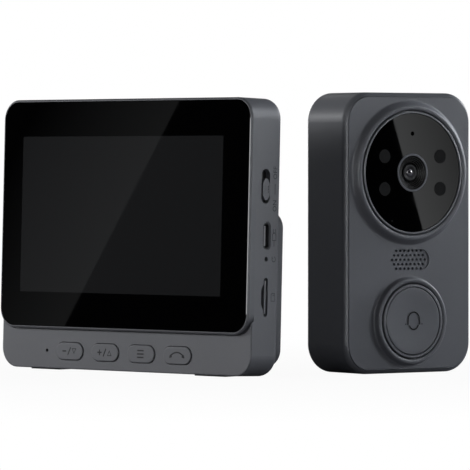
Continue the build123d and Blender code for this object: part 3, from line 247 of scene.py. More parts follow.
soft_lamp("lamp_left", (-1.15, -0.50, 0.32), 0.5, 8.0, (0.99, 0.99, 1.0))
soft_lamp("lamp_right", (1.15, -0.10, 0.50), 0.5, 6.0, (0.90, 0.94, 1.0))
soft_lamp("rim_left", (-1.1, 0.25, 0.30), 0.35, 7.0, (0.97, 0.98, 1.0))
soft_lamp("rim_right", (1.02, 0.56, 0.40), 0.35, 13.0, (0.90, 0.94, 1.0))
soft_lamp("lamp_back", (-0.2, 1.6, 0.30), 0.6, 8.0, (0.97, 0.98, 1.0))
soft_lamp("lamp_front", (0.45, -1.7, 0.75), 0.3, 1.8, (0.98, 0.99, 1.0))

# %% [markdown]
# Black glass shows only what it mirrors. In the photograph each pane is split by a slanted line,
# where a bright board ends in front of a dark studio. So each pane gets a pair of boards, a
# dark one and a glowing one, that only mirror rays can find. Their common edge is
# found by aiming rays from the camera at two places on the pane and bouncing them off it.
#
# Four more boards stand by themselves. The dark ceiling and the dark back keep the white studio out of
# the glass and the upper edges, a low glowing one in front lights the rounded edges, and a small one at
# the right gives the lens its glint.

# %% Boards that the glass mirrors
BOARD_AWAY = 0.8
BOARD_REACH = 0.45
BOARD_WHITE = (0.97, 0.99, 1.0, 1.0)


def bounce(unit, spot):
    """Where a camera ray meets the pane, and its direction after the pane has mirrored it."""
    point = unit.place @ Vector(spot)
    ray = (point - camera.location).normalized()
    return point, ray.reflect(unit.axes[1])


def board_material(name, strength, fade):
    """Glows most at the board's first edge, and is dark from fade, a share of its reach, onwards."""
    material = bpy.data.materials.new(name)
    material.use_nodes = True
    tree = material.node_tree
    tree.nodes.clear()
    across = add(tree, "ShaderNodeSeparateXYZ", {0: add(tree, "ShaderNodeTexCoord").outputs["UV"]})
    level = ramp(tree, across.outputs["X"], 0.0, fade, strength, 0.0)
    glow = add(tree, "ShaderNodeEmission", {"Color": BOARD_WHITE, "Strength": level})
    add(tree, "ShaderNodeOutputMaterial", {"Surface": glow.outputs[0]})
    return material


def board(name, edge, outwards, reach, strength=0.0, fade=1.0):
    """A rectangle that starts at an edge and runs outwards."""
    corners = [edge[0], edge[0] + outwards * reach, edge[1] + outwards * reach, edge[1]]
    mesh = bpy.data.meshes.new(name)
    mesh.from_pydata(corners, [], [(0, 1, 2, 3)])
    layer = mesh.uv_layers.new(name="across")
    for corner, value in zip(layer.data, ((0, 0), (1, 0), (1, 1), (0, 1))):
        corner.uv = value
    mesh.materials.append(board_material(name, strength, fade))
    thing = bpy.data.objects.new(name, mesh)
    bpy.context.scene.collection.objects.link(thing)
    only_for_mirrors(thing)


def only_for_mirrors(thing):
    """The object shows in mirrors and gloss, and neither blocks nor gives light otherwise."""
    thing.visible_camera = thing.visible_diffuse = thing.visible_shadow = False
    thing.visible_transmission = thing.visible_volume_scatter = False


def pair_of_boards(name, unit, top, bottom, bright_side, fade, strength):
    """A glowing and a dark board whose common edge shows as the line from top to bottom on the pane."""
    point, facing = bounce(unit, bright_side)
    centre = point + facing * BOARD_AWAY

    def landing(spot):
        start, ray = bounce(unit, spot)
        return start + ray * ((centre - start).dot(facing) / ray.dot(facing))

    edge = landing(top), landing(bottom)
    outwards = (edge[1] - edge[0]).cross(facing).normalized()
    if outwards.dot(landing(bright_side) - edge[0]) < 0:
        outwards.negate()
    middle = (edge[0] + edge[1]) / 2
    run = (edge[1] - edge[0]).normalized() * BOARD_REACH
    edge = middle - run, middle + run
    board(name + "_bright_board", edge, outwards, BOARD_REACH, strength, fade / BOARD_REACH)
    board(name + "_dark_board", edge, -outwards, BOARD_REACH)
    print(name, "boards meet at", [tuple(round(value, 3) for value in spot) for spot in edge])


# Each in metres: the ends of its first edge, the way it runs from there, how far, and its glow
ALONG_X, ALONG_Y = Vector((1, 0, 0)), Vector((0, 1, 0))
single_boards = {
    "dark_ceiling": ((-1.3, -0.9, 0.85), (-1.3, 1.2, 0.85), ALONG_X, 2.6, 0.0),
    "dark_back": ((-0.17, 1.45, 0.0), (-0.17, 1.45, 0.9), ALONG_X, 1.6, 0.0),
    "edge_board": ((-0.35, -1.3, 0.0), (-0.35, -1.3, 0.25), ALONG_X, 0.7, 40.0),
    "lens_glint": ((0.55, -0.074, 0.106), (0.55, -0.074, 0.206), ALONG_Y, 0.1, 45.0),
}
for name, (near, far, outwards, reach, strength) in single_boards.items():
    board(name, (Vector(near), Vector(far)), outwards, reach, strength)

PANE_FRONT = monitor.spans("screen_glass")[1][0]
WINDOW_FRONT = doorbell.spans("camera_window")[1][0]
pair_of_boards("monitor", monitor, (25, PANE_FRONT, 91.5), (-27, PANE_FRONT, 14.6),
               (-40, PANE_FRONT, 75), 0.065, 0.15)
pair_of_boards("doorbell", doorbell, (-8.2, WINDOW_FRONT, 86.1), (4.4, WINDOW_FRONT, 49.0),
               (14, WINDOW_FRONT, 70), 0.055, 1.05)

# %% [markdown]
# Both housings are injection moulded plastic with a fine spark-eroded grain. Up close, that
# grain is tiny pits that blur the highlights, and from further off the plastic is never one even colour,
# because it flows and cools unevenly. One function makes every such plastic: a fine noise for the
# pits, a second for specks of pigment and a third, much wider, for the soft clouds.


# %% Moulded plastic
def shader_of(material):
    """A material's node tree and its main shader."""
    return material.node_tree, material.node_tree.nodes["Principled BSDF"]


def on_surface(tree):
    """The place on the object's surface."""
    return add(tree, "ShaderNodeTexCoord").outputs["Object"]


def raise_bumps(tree, bsdf, height, strength, distance):
    """Lets a height move the shader's normal. The distance is in millimetres."""
    bump = add(tree, "ShaderNodeBump", {"Height": height, "Strength": strength, "Distance": distance * MM})
    tree.links.new(bump.outputs[0], bsdf.inputs["Normal"])


def moulded(name, colour, roughness, specular=0.2, grain=0.25, depth=0.012, clouds=0.05):
    """Grained plastic. grain and depth are in millimetres, and clouds is the share of the colour."""
    material = bpy.data.materials.new(name)
    material.use_nodes = True
    tree, bsdf = shader_of(material)
    bsdf.inputs["Specular IOR Level"].default_value = specular
    place = on_surface(tree)
    pits = add(tree, "ShaderNodeTexNoise", {"Vector": place, "Scale": 1 / (grain * MM), "Detail": 3.0})
    specks = add(tree, "ShaderNodeTexNoise", {"Vector": place, "Scale": 0.35 / (grain * MM), "Detail": 2.0})
    cloud = add(tree, "ShaderNodeTexNoise", {"Vector": place, "Scale": 1 / (28 * MM), "Detail": 3.0})
    both = calculate(tree, "MULTIPLY_ADD", specks.outputs["Fac"], 0.5, cloud.outputs["Fac"])
    tone = ramp(tree, both, 0.45, 1.05, 1 - clouds, 1 + clouds)
    tinted = add(tree, "ShaderNodeVectorMath", {0: tuple(colour), "Scale": tone}, operation="SCALE")
    gloss = ramp(tree, pits.outputs["Fac"], 0.3, 0.7, roughness - 0.05, roughness + 0.05)
    tree.links.new(tinted.outputs[0], bsdf.inputs["Base Color"])
    tree.links.new(gloss, bsdf.inputs["Roughness"])
    raise_bumps(tree, bsdf, pits.outputs["Fac"], 0.5, depth)
    return material


MONITOR_GREY = (0.085, 0.087, 0.095)
BEZEL_GREY = (0.080, 0.082, 0.090)
KEY_GREY = (0.084, 0.086, 0.094)
# The case's grey is the plastic's own grey, set a little darker than the front panel's as painted shade on
# its top and side walls.
SHADED_CASE_GREY = (0.092, 0.095, 0.104)
PANEL_GREY = (0.100, 0.103, 0.113)
TRIM_GREY = (0.120, 0.124, 0.134)
BLACK = (0.008, 0.008, 0.009)

finishes = {
    "monitor_plastic": moulded("monitor_plastic", MONITOR_GREY, 0.50),
    "bezel_plastic": moulded("bezel_plastic", BEZEL_GREY, 0.45),
    "key_plastic": moulded("key_plastic", KEY_GREY, 0.45),
    "doorbell_plastic": moulded("doorbell_plastic", SHADED_CASE_GREY, 0.40, 0.22),
    "doorbell_panel": moulded("doorbell_panel", PANEL_GREY, 0.42, 0.22),
    "black_plastic": moulded("black_plastic", BLACK, 0.45),
    "rubber": moulded("rubber", (0.022, 0.022, 0.024), 0.80, 0.2, grain=0.4, depth=0.03),
    "foam": moulded("foam", (0.010, 0.010, 0.011), 0.95, 0.05, grain=0.6, depth=0.15),
}
print("moulded finishes:", len(finishes))

# %% [markdown]
# The screen's cover glass and the camera's window are clear only where something is behind them. The rest
# is printed black on the inside. The glass is one solid here, so its material tells the two
# apart by place: a Mapping node gives the unit's own millimetres, and the distance to the middle
# of the screen decides between the ink and the slightly paler panel. A real pane
# also has faint wipe marks, which only change its gloss.


# %% Glass, ink and the funnel round the lens
def own_millimetres(tree, unit, centre):
    """The place on the surface in the unit's own millimetres, counted from centre."""
    place = on_surface(tree)
    home = unit.place @ Vector(centre)
    mapping = add(tree, "ShaderNodeMapping", {"Vector": place, "Location": home, "Rotation": unit.angles,
                                              "Scale": (MM, MM, MM)}, vector_type="TEXTURE")
    return mapping.outputs[0]


def black_glass(name):
    """Polished black glass with wipe marks in its gloss."""
    material = moulded(name, (0.0008, 0.0008, 0.0009), 0.06, 0.5, grain=1.6, depth=0.00002, clouds=0.2)
    tree, bsdf = shader_of(material)
    place = on_surface(tree)
    wipes = add(tree, "ShaderNodeTexNoise", {"Vector": place, "Scale": 1 / (9 * MM), "Detail": 4.0,
                                             "Distortion": 1.5})
    tree.links.new(ramp(tree, wipes.outputs["Fac"], 0.35, 0.7, 0.010, 0.022), bsdf.inputs["Roughness"])
    return material


def mix_colours(tree, share, first, second):
    """The first colour where share is 0 and the second where it is 1."""
    mix = add(tree, "ShaderNodeMix", {0: share}, data_type="RGBA")
    for socket, colour in zip((6, 7), (first, second)):
        if isinstance(colour, bpy.types.NodeSocket):
            tree.links.new(colour, mix.inputs[socket])
        else:
            mix.inputs[socket].default_value = (*colour, 1.0)
    return mix.outputs[2]


SCREEN_CENTRE = (-1.5, 0.0, 53.4)
SCREEN_WIDTH, SCREEN_HEIGHT = 95.04, 53.86
SCREEN_ROWS = 1.55
screen_glass = black_glass("screen_glass")
tree, bsdf = shader_of(screen_glass)
local = add(tree, "ShaderNodeSeparateXYZ", {0: own_millimetres(tree, monitor, SCREEN_CENTRE)})
inside_x = calculate(tree, "SUBTRACT", SCREEN_WIDTH / 2, calculate(tree, "ABSOLUTE", local.outputs["X"]))
inside_z = calculate(tree, "SUBTRACT", SCREEN_HEIGHT / 2, calculate(tree, "ABSOLUTE", local.outputs["Z"]))
inside = ramp(tree, calculate(tree, "MINIMUM", inside_x, inside_z), -0.1, 0.1)
rows = add(tree, "ShaderNodeTexWave", {"Vector": own_millimetres(tree, monitor, SCREEN_CENTRE),
                                       "Scale": SCREEN_ROWS}, bands_direction="Z")
panel_black = mix_colours(tree, rows.outputs["Fac"], (0.0100, 0.0102, 0.0106), (0.0118, 0.0120, 0.0124))
tree.links.new(mix_colours(tree, inside, (0.0006, 0.0006, 0.0007), panel_black), bsdf.inputs["Base Color"])
finishes["screen_glass"] = screen_glass
finishes["window_black"] = black_glass("window_black")

LENS_CENTRE = doorbell.centre("lens_ring")
RIM_INSIDE = 5.85
lens_rim = moulded("lens_rim", TRIM_GREY, 0.5, 0.08, grain=0.18, depth=0.004)
tree, bsdf = shader_of(lens_rim)
local = add(tree, "ShaderNodeSeparateXYZ", {0: own_millimetres(tree, doorbell, LENS_CENTRE)})
radius = calculate(tree, "SQRT", calculate(tree, "ADD", calculate(tree, "POWER", local.outputs["X"], 2.0),
                                           calculate(tree, "POWER", local.outputs["Z"], 2.0)))
outer = ramp(tree, radius, RIM_INSIDE - 0.1, RIM_INSIDE)
grey = bsdf.inputs["Base Color"].links[0].from_socket
tree.links.new(mix_colours(tree, outer, (0.002, 0.002, 0.002), grey), bsdf.inputs["Base Color"])
finishes["doorbell_trim"] = moulded("doorbell_trim", TRIM_GREY, 0.34, 0.35, grain=0.18, depth=0.004)
print("the lens is at", tuple(round(value, 2) for value in LENS_CENTRE))

# %% [markdown]
# Inside are boards, a battery and stamped metal. Metal needs its own maker: rolled or ground metal has fine
# lines along one direction, so its noise is squeezed along that direction, and the lines
# change both the gloss and the bump. A board's solder mask shows its copper
# tracks as raised lines, and a battery's foil pouch is softly creased.


# %% Metals, boards, foil and resin
def metal(name, colour, roughness, lines=(1, 12, 12)):
    """Metal with fine lines along the direction whose number is smallest."""
    material = bpy.data.materials.new(name)
    material.use_nodes = True
    tree, bsdf = shader_of(material)
    bsdf.inputs["Metallic"].default_value = 1.0
    place = on_surface(tree)
    squeezed = add(tree, "ShaderNodeMapping", {"Vector": place, "Scale": lines})
    drawn = add(tree, "ShaderNodeTexNoise", {"Vector": squeezed.outputs[0], "Scale": 1 / (3 * MM),
                                             "Detail": 4.0})
    dull = add(tree, "ShaderNodeTexNoise", {"Vector": place, "Scale": 1 / (6 * MM), "Detail": 2.0})
    tone = ramp(tree, dull.outputs["Fac"], 0.3, 0.7, 0.85, 1.1)
    shade = add(tree, "ShaderNodeVectorMath", {0: tuple(colour), "Scale": tone}, operation="SCALE")
    tree.links.new(shade.outputs[0], bsdf.inputs["Base Color"])
    tree.links.new(ramp(tree, drawn.outputs["Fac"], 0.3, 0.7, roughness - 0.06, roughness + 0.08),
                   bsdf.inputs["Roughness"])
    raise_bumps(tree, bsdf, drawn.outputs["Fac"], 0.4, 0.01)
    return material


def circuit_board(name, mask, track):
    """Solder mask over copper tracks."""
    material = moulded(name, mask, 0.38, 0.5, grain=0.4, depth=0.004)
    tree, bsdf = shader_of(material)
    place = on_surface(tree)
    cells = add(tree, "ShaderNodeTexVoronoi", {"Vector": place, "Scale": 1 / (2.6 * MM)},
                distance="MANHATTAN", feature="F1")
    on_track = ramp(tree, calculate(tree, "PINGPONG", cells.outputs["Distance"], 0.11), 0.07, 0.09)
    mask_colour = bsdf.inputs["Base Color"].links[0].from_socket
    tree.links.new(mix_colours(tree, on_track, mask_colour, track), bsdf.inputs["Base Color"])
    raise_bumps(tree, bsdf, on_track, 0.6, 0.03)
    return material


def foil(name, colour):
    """A battery's aluminium pouch with soft creases."""
    material = moulded(name, colour, 0.32, 0.5, grain=0.5, depth=0.006, clouds=0.12)
    tree, bsdf = shader_of(material)
    bsdf.inputs["Metallic"].default_value = 0.7
    place = on_surface(tree)
    creases = add(tree, "ShaderNodeTexNoise", {"Vector": place, "Scale": 1 / (8 * MM), "Detail": 2.0,
                                               "Distortion": 0.6})
    raise_bumps(tree, bsdf, creases.outputs["Fac"], 0.5, 0.4)
    return material


def coated_lens(name):
    """Dark coated glass, black from the front, with a painted violet sheen towards its edge in place of the
    coating's coloured reflection.
    """
    material = moulded(name, (0.004, 0.004, 0.006), 0.03, 0.8, grain=2.0, depth=0.00002, clouds=0.1)
    tree, bsdf = shader_of(material)
    facing = add(tree, "ShaderNodeLayerWeight", {"Blend": 0.45})
    # Painted sheen: the base colour turns violet at grazing angles, where the coating's reflection would
    # show.
    painted_sheen = mix_colours(tree, facing.outputs["Facing"], (0.002, 0.002, 0.004), (0.030, 0.022, 0.060))
    tree.links.new(painted_sheen, bsdf.inputs["Base Color"])
    bsdf.inputs["Coat Weight"].default_value = 1.0
    bsdf.inputs["Coat Roughness"].default_value = 0.02
    return material


finishes |= {
    "screen_layers": black_glass("screen_layers"),
    "tray_metal": metal("tray_metal", (0.60, 0.61, 0.62), 0.32),
    "board_metal": metal("board_metal", (0.58, 0.58, 0.59), 0.36),
    "pin_steel": metal("pin_steel", (0.55, 0.55, 0.57), 0.25),
    "screw_steel": metal("screw_steel", (0.16, 0.16, 0.17), 0.38, (4, 4, 4)),
    # Painted shade: the ports' metal is near black, standing in for the shade inside their openings.
    "port_metal": metal("port_metal", (0.045, 0.045, 0.048), 0.42),
    "board": circuit_board("board", (0.015, 0.085, 0.040), (0.05, 0.17, 0.08)),
    "battery_film": foil("battery_film", (0.45, 0.47, 0.50)),
    "lens": coated_lens("lens"),
    "lamp_resin": moulded("lamp_resin", (0.016, 0.010, 0.016), 0.12, 0.5, grain=1.2, depth=0.0005),
}
for node in frame["nodes"].values():
    slot = node.data.materials[0].name
    node.data.materials[0] = finishes[slot]
frame["nodes"]["lens_ring"].data.materials[0] = lens_rim
frame["nodes"]["bell_button_ring"].data.materials[0] = finishes["doorbell_panel"]
frame["nodes"]["memory_card"].data.materials[0] = moulded("card_plastic", (0.060, 0.062, 0.068), 0.4, 0.4)
print("finishes:", ", ".join(sorted(finishes)))

# %% [markdown]
# The signs on the keys are thin marks of dark ink. Each is drawn as lines on the face it belongs to and
# given a little thickness: a curve with a round bevel makes a neat line with round ends, and
# pressing the tube almost flat leaves a mark that lies on the plastic. Signs
# that move with a key ride on that key's body. Only generic signs are used: minus, plus, arrows, three bars
# for the menu, a handset, a bell, and ON and OFF beside the switch.


# %% Drawing signs on a face
SIGN_PROUD = 0.03
LINE_WIDTH = 0.46


def face_matrix(unit, centre, across, upwards, outwards):
    """Turns (across, upwards, outwards) in millimetres into a place on the unit."""
    turn = Matrix((across, upwards, outwards)).transposed().to_4x4()
    return unit.place @ Matrix.Translation(Vector(centre)) @ turn


def front_face(unit, centre):
    """Seen from the front, with the writing running to the right."""
    return face_matrix(unit, centre, Vector((1, 0, 0)), Vector((0, 0, 1)), Vector((0, -1, 0)))


def right_side(unit, centre):
    """Seen from the right, with the writing running up the wall."""
    return face_matrix(unit, centre, Vector((0, 0, 1)), Vector((0, -1, 0)), Vector((1, 0, 0)))


def arc(centre, radius, start, end, steps=16):
    """Points on a circle's arc, in degrees, anticlockwise from the right."""
    angles = [radians(start + (end - start) * step / steps) for step in range(steps + 1)]
    return [(centre[0] + radius * cos(angle), centre[1] + radius * sin(angle)) for angle in angles]


def lines_mesh(name, strokes, width):
    """One mesh of round-ended lines. A stroke is a list of points, closed if it ends where it starts."""
    curve = bpy.data.curves.new(name, "CURVE")
    curve.dimensions = "3D"
    curve.bevel_depth = width / 2
    curve.bevel_resolution = 3
    curve.use_fill_caps = True
    for points in strokes:
        spline = curve.splines.new("POLY")
        closed = points[0] == points[-1]
        kept = points[:-1] if closed else points
        spline.points.add(len(kept) - 1)
        for knot, point in zip(spline.points, kept):
            knot.co = (*point, 0, 1)
        spline.use_cyclic_u = closed
    return curve


def text_mesh(name, words, height):
    """A short word, as thick as the lines are."""
    text = bpy.data.curves.new(name, "FONT")
    text.body = words
    text.size = height
    text.extrude = LINE_WIDTH / 2
    text.align_x = "CENTER"
    text.align_y = "CENTER"
    return text


def sign(name, drawing, face, body, material):
    """Bakes a drawing on a face, pressed flat, as a piece that rides on a body."""
    thickness = getattr(drawing, "extrude", 0) or drawing.bevel_depth
    scratch = bpy.data.objects.new(name, drawing)
    bpy.context.scene.collection.objects.link(scratch)
    bpy.context.view_layer.update()
    graph = bpy.context.evaluated_depsgraph_get()
    mesh = bpy.data.meshes.new_from_object(scratch.evaluated_get(graph))
    bpy.data.objects.remove(scratch)
    mesh.name = name
    mesh.transform(face @ Matrix.Diagonal((1, 1, SIGN_PROUD / thickness, 1)))
    mesh.materials.clear()
    mesh.materials.append(material)
    piece = bpy.data.objects.new(name, mesh)
    bpy.context.scene.collection.objects.link(piece)
    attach(piece, body)
    return piece


key_ink = moulded("key_ink", (0.016, 0.0165, 0.018), 0.55, 0.1, grain=0.2, depth=0.01)
side_ink = moulded("side_ink", (0.020, 0.023, 0.027), 0.6, 0.1, grain=0.2, depth=0.01)
print("a sign stands", SIGN_PROUD, "mm proud")

# %% Signs on the four keys
SLASH = [(-0.65, -1.35), (0.65, 1.35)]
MINUS = [(-3.2, 0.0), (-1.5, 0.0)]
PLUS_UPRIGHT = [(-2.4, -1.0), (-2.4, 1.0)]
PLUS_LEVEL = [(-3.4, 0.0), (-1.4, 0.0)]
DOWN_ARROW = [(1.4, 0.9), (3.2, 0.9), (2.3, -0.7), (1.4, 0.9)]
UP_ARROW = [(1.4, -1.0), (3.2, -1.0), (2.3, 0.6), (1.4, -1.0)]
HANDSET_BACK = [(-3.3, -0.9), (-3.1, -0.1), *arc((0, -3.2), 4.2, 125, 55), (3.1, -0.1), (3.3, -0.9)]
HANDSET_ENDS = [[(-3.2, -0.7), (-2.3, -0.4)], [(-3.1, -0.3), (-2.4, 0.0)],
                [(3.2, -0.7), (2.3, -0.4)], [(3.1, -0.3), (2.4, 0.0)]]
key_signs = {
    "volume_down_key": ("volume_down_button", [MINUS, SLASH, DOWN_ARROW]),
    "volume_up_key": ("volume_up_button", [PLUS_UPRIGHT, PLUS_LEVEL, SLASH, UP_ARROW]),
    "menu_key": ("menu_button", [[(-1.5, height), (1.5, height)] for height in (-1.15, 0.0, 1.15)]),
    "talk_key": ("talk_button", [HANDSET_BACK, *HANDSET_ENDS]),
}
for body, (node, strokes) in key_signs.items():
    name = body + "_sign"
    face = front_face(monitor, monitor.centre(node))
    sign(name, lines_mesh(name, strokes, LINE_WIDTH), face, body, key_ink)
print("key signs:", ", ".join(key_signs))

# %% Signs beside the switch, the socket, the reset hole and the card
SIDE_X = monitor.spans("monitor_housing")[0][1]
LABEL_DEPTH = 10.3
SWITCH_Z, OFF_ABOVE, ON_BELOW = 62.6, 5.6, 5.4
TEXT_HEIGHT, SIDE_LINE_WIDTH = 2.5, 0.28
switch_signs = {
    "switch_off_sign": ("OFF", SWITCH_Z + OFF_ABOVE),
    "switch_on_sign": ("ON", SWITCH_Z - ON_BELOW),
}
for name, (words, height) in switch_signs.items():
    face = right_side(monitor, (SIDE_X, LABEL_DEPTH, height))
    sign(name, text_mesh(name, words, TEXT_HEIGHT), face, "monitor", side_ink)
SOCKET_Z, RESET_Z, CARD_Z = (monitor.centre(node).z for node in ("usb_port", "reset_key", "card_socket"))
plug_sign = [[(-3.4, 0), (-1.4, 0)], [(-1.4, -0.9), (0.2, -0.9), *arc((0.2, 0), 0.9, -90, 90),
                                       (-1.4, 0.9), (-1.4, -0.9)], [(1.1, 0.5), (2.4, 0.5)],
             [(1.1, -0.5), (2.4, -0.5)]]
reset_sign = [arc((0, 0), 0.85, 60, 350), [(0.35, 0.45), (0.45, 0.9), (0.9, 0.75)]]
card_sign = [[(-1.3, -0.9), (1.3, -0.9), (1.3, 0.5), (0.9, 0.9), (-1.3, 0.9), (-1.3, -0.9)],
             [(0.4, -0.5), (0.9, -0.5)], [(0.4, 0.0), (0.9, 0.0)]]
side_signs = {
    "switch_line_sign": ([[(-1.6, 0), (1.9, 0)]], SWITCH_Z),
    "socket_sign": (plug_sign, SOCKET_Z),
    "reset_sign": (reset_sign, RESET_Z),
    "card_sign": (card_sign, CARD_Z),
}
for name, (strokes, height) in side_signs.items():
    face = right_side(monitor, (SIDE_X, LABEL_DEPTH, height))
    lines = lines_mesh(name, strokes, SIDE_LINE_WIDTH)
    sign(name, lines, face, "monitor", side_ink)
print("side signs:", ", ".join(side_signs))

# %% [markdown]
# The bell on the round key is a thin black line: a dome, the clapper below it and a short
# sound mark on each side. It is the darkest mark on the doorbell, so it gets its own black.

# %% Bell sign on the round key
bell_black = moulded("bell_black", (0.004, 0.004, 0.004), 0.5, 0.1, grain=0.2, depth=0.01)
BELL_WIDE = 2.35
dome = [(-BELL_WIDE - 0.2, -1.2), *arc((0, 0.7), BELL_WIDE, 180, 0), (BELL_WIDE + 0.2, -1.2)]
clapper = arc((0.0, -0.95), 1.9, 195, 345)
marks = [[(-3.6, -1.0), (-3.3, -1.0)], [(3.3, -1.0), (3.6, -1.0)]]
bell_face = front_face(doorbell, doorbell.centre("bell_button_cap") + Vector((0.3, 0, 0)))
bell_lines = lines_mesh("bell_sign", [dome, clapper, *marks], LINE_WIDTH)
sign("bell_sign", bell_lines, bell_face, "bell_key", bell_black)
print("the bell sign is", 2 * BELL_WIDE, "mm wide")

# %% [markdown]
# Four infrared lamps sit behind the window and show as matt discs of dark filter. They repeat, so
# Geometry Nodes make them: one thin disc is put on four points. The tree's sizes are named inputs, and
# its instances are made real, because the export drops instances.


# %% Geometry Nodes helpers
def new_tree(name, inputs):
    """An empty geometry tree with named inputs, each given as (name, kind, first value)."""
    tree = bpy.data.node_groups.new(name, "GeometryNodeTree")
    tree.interface.new_socket("Geometry", in_out="OUTPUT", socket_type="NodeSocketGeometry")
    for label, kind, value in inputs:
        socket = tree.interface.new_socket(label, in_out="INPUT", socket_type="NodeSocket" + kind)
        if value is not None:
            socket.default_value = value
    return tree, add(tree, "NodeGroupInput").outputs


def finish_tree(tree, sizes, geometry):
    """Makes the instances real, sets the material and ends the tree."""
    real = add(tree, "GeometryNodeRealizeInstances", {"Geometry": geometry})
    coated = add(tree, "GeometryNodeSetMaterial", {"Geometry": real.outputs[0],
                                                   "Material": sizes["Material"]})
    add(tree, "NodeGroupOutput", {"Geometry": coated.outputs[0]})


def grow(name, tree, values, place, body):
    """Runs a geometry tree with these values, bakes it in its place and lets it ride on a body."""
    scratch = bpy.data.objects.new(name, bpy.data.meshes.new(name))
    bpy.context.scene.collection.objects.link(scratch)
    modifier = scratch.modifiers.new("growth", "NODES")
    modifier.node_group = tree
    sockets = {item.name: item.identifier for item in tree.interface.items_tree if item.in_out == "INPUT"}
    for label, value in values.items():
        modifier[sockets[label]] = value
    bpy.context.view_layer.update()
    graph = bpy.context.evaluated_depsgraph_get()
    mesh = bpy.data.meshes.new_from_object(scratch.evaluated_get(graph))
    bpy.data.objects.remove(scratch)
    mesh.transform(place)
    mesh.name = name
    piece = bpy.data.objects.new(name, mesh)
    bpy.context.scene.collection.objects.link(piece)
    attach(piece, body)
    print(name, "has", len(mesh.polygons), "faces")
    return piece


# %% Infrared filters
def disc_tree():
    """Round plates at the corners of a rectangle."""
    tree, sizes = new_tree("filter_discs", [
        ("Across", "Float", 23.7), ("Apart", "Float", 11.1), ("Radius", "Float", 2.35),
        ("Thickness", "Float", 0.04), ("Material", "Material", None)])
    corners = add(tree, "GeometryNodeMeshGrid", {"Size X": sizes["Across"], "Size Y": sizes["Apart"],
                                                 "Vertices X": 2, "Vertices Y": 2})
    plate = add(tree, "GeometryNodeMeshCylinder", {"Vertices": 48, "Radius": sizes["Radius"],
                                                   "Depth": sizes["Thickness"]})
    copies = add(tree, "GeometryNodeInstanceOnPoints", {"Points": corners.outputs["Mesh"],
                                                        "Instance": plate.outputs["Mesh"]})
    finish_tree(tree, sizes, copies.outputs[0])
    return tree


filter_resin = moulded("filter_resin", (0.0105, 0.0105, 0.0105), 0.75, 0.03, grain=0.3, depth=0.01)
filters = doorbell.spans("infrared_lamps")
INFRARED_RADIUS, FILTER_RADIUS, FILTER_THICKNESS = 2.95, 2.35, 0.04
filter_values = {
    "Across": filters[0][1] - filters[0][0] - 2 * INFRARED_RADIUS,
    "Apart": filters[2][1] - filters[2][0] - 2 * INFRARED_RADIUS,
    "Radius": FILTER_RADIUS, "Thickness": FILTER_THICKNESS, "Material": filter_resin}
window_face = front_face(doorbell, (LENS_CENTRE.x, WINDOW_FRONT, sum(filters[2]) / 2))
grow("infrared_filters", disc_tree(), filter_values, window_face, "bell_unit")

# %% [markdown]
# The speaker's holes are backed by a woven screen. Each wire goes over one crossing wire and
# under the next, so its depth is a wave along its length, and the wires between are half a wave off. One
# tree weaves one set of wires, and is run once for the wires across and once for those upright.


# %% Woven screen behind the speaker's holes
def weave_tree():
    """Parallel wires along X, spaced along Y, that wave in Z."""
    tree, sizes = new_tree("woven_wires", [
        ("Wires", "Int", 12), ("Crossings", "Int", 20), ("Pitch", "Float", 0.6),
        ("Wire Radius", "Float", 0.1), ("Wave", "Float", 0.1), ("Material", "Material", None)])
    gap = calculate(tree, "SUBTRACT", sizes["Wires"], 1.0)
    start = calculate(tree, "MULTIPLY", calculate(tree, "MULTIPLY", gap, sizes["Pitch"]), -0.5)
    length = calculate(tree, "MULTIPLY", sizes["Crossings"], sizes["Pitch"])
    half = calculate(tree, "MULTIPLY", length, 0.5)
    first = add(tree, "ShaderNodeCombineXYZ", {"X": calculate(tree, "MULTIPLY", half, -1.0)})
    last = add(tree, "ShaderNodeCombineXYZ", {"X": half})
    line = add(tree, "GeometryNodeCurvePrimitiveLine", {"Start": first.outputs[0], "End": last.outputs[0]})
    knots = calculate(tree, "MULTIPLY_ADD", sizes["Crossings"], 4.0, 1.0)
    fine = add(tree, "GeometryNodeResampleCurve", {"Curve": line.outputs[0], "Count": knots})
    row_start = add(tree, "ShaderNodeCombineXYZ", {"Y": start})
    row_step = add(tree, "ShaderNodeCombineXYZ", {"Y": sizes["Pitch"]})
    row_points = add(tree, "GeometryNodeMeshLine", {
        "Count": sizes["Wires"], "Start Location": row_start.outputs[0], "Offset": row_step.outputs[0]})
    number = add(tree, "GeometryNodeInputIndex").outputs[0]
    numbered = add(tree, "GeometryNodeStoreNamedAttribute", {
        "Geometry": row_points.outputs[0], "Name": "wire", "Value": number}, data_type="INT", domain="POINT")
    copies = add(tree, "GeometryNodeInstanceOnPoints", {
        "Points": numbered.outputs[0], "Instance": fine.outputs[0]})
    real = add(tree, "GeometryNodeRealizeInstances", {"Geometry": copies.outputs[0]})
    named = add(tree, "GeometryNodeInputNamedAttribute", {"Name": "wire"}, data_type="INT")
    spot = add(tree, "ShaderNodeSeparateXYZ", {0: add(tree, "GeometryNodeInputPosition").outputs[0]})
    steps = calculate(tree, "DIVIDE", spot.outputs["X"], sizes["Pitch"])
    phase = calculate(tree, "MULTIPLY", calculate(tree, "ADD", steps, named.outputs["Attribute"]), pi)
    height = calculate(tree, "MULTIPLY", calculate(tree, "COSINE", phase), sizes["Wave"])
    lift = add(tree, "ShaderNodeCombineXYZ", {"Z": height})
    waved = add(tree, "GeometryNodeSetPosition", {"Geometry": real.outputs[0], "Offset": lift.outputs[0]})
    round_wire = add(tree, "GeometryNodeCurvePrimitiveCircle", {
        "Resolution": 6, "Radius": sizes["Wire Radius"]})
    tube = add(tree, "GeometryNodeCurveToMesh", {"Curve": waved.outputs[0],
                                                 "Profile Curve": round_wire.outputs[0], "Fill Caps": True})
    finish_tree(tree, sizes, tube.outputs[0])
    return tree


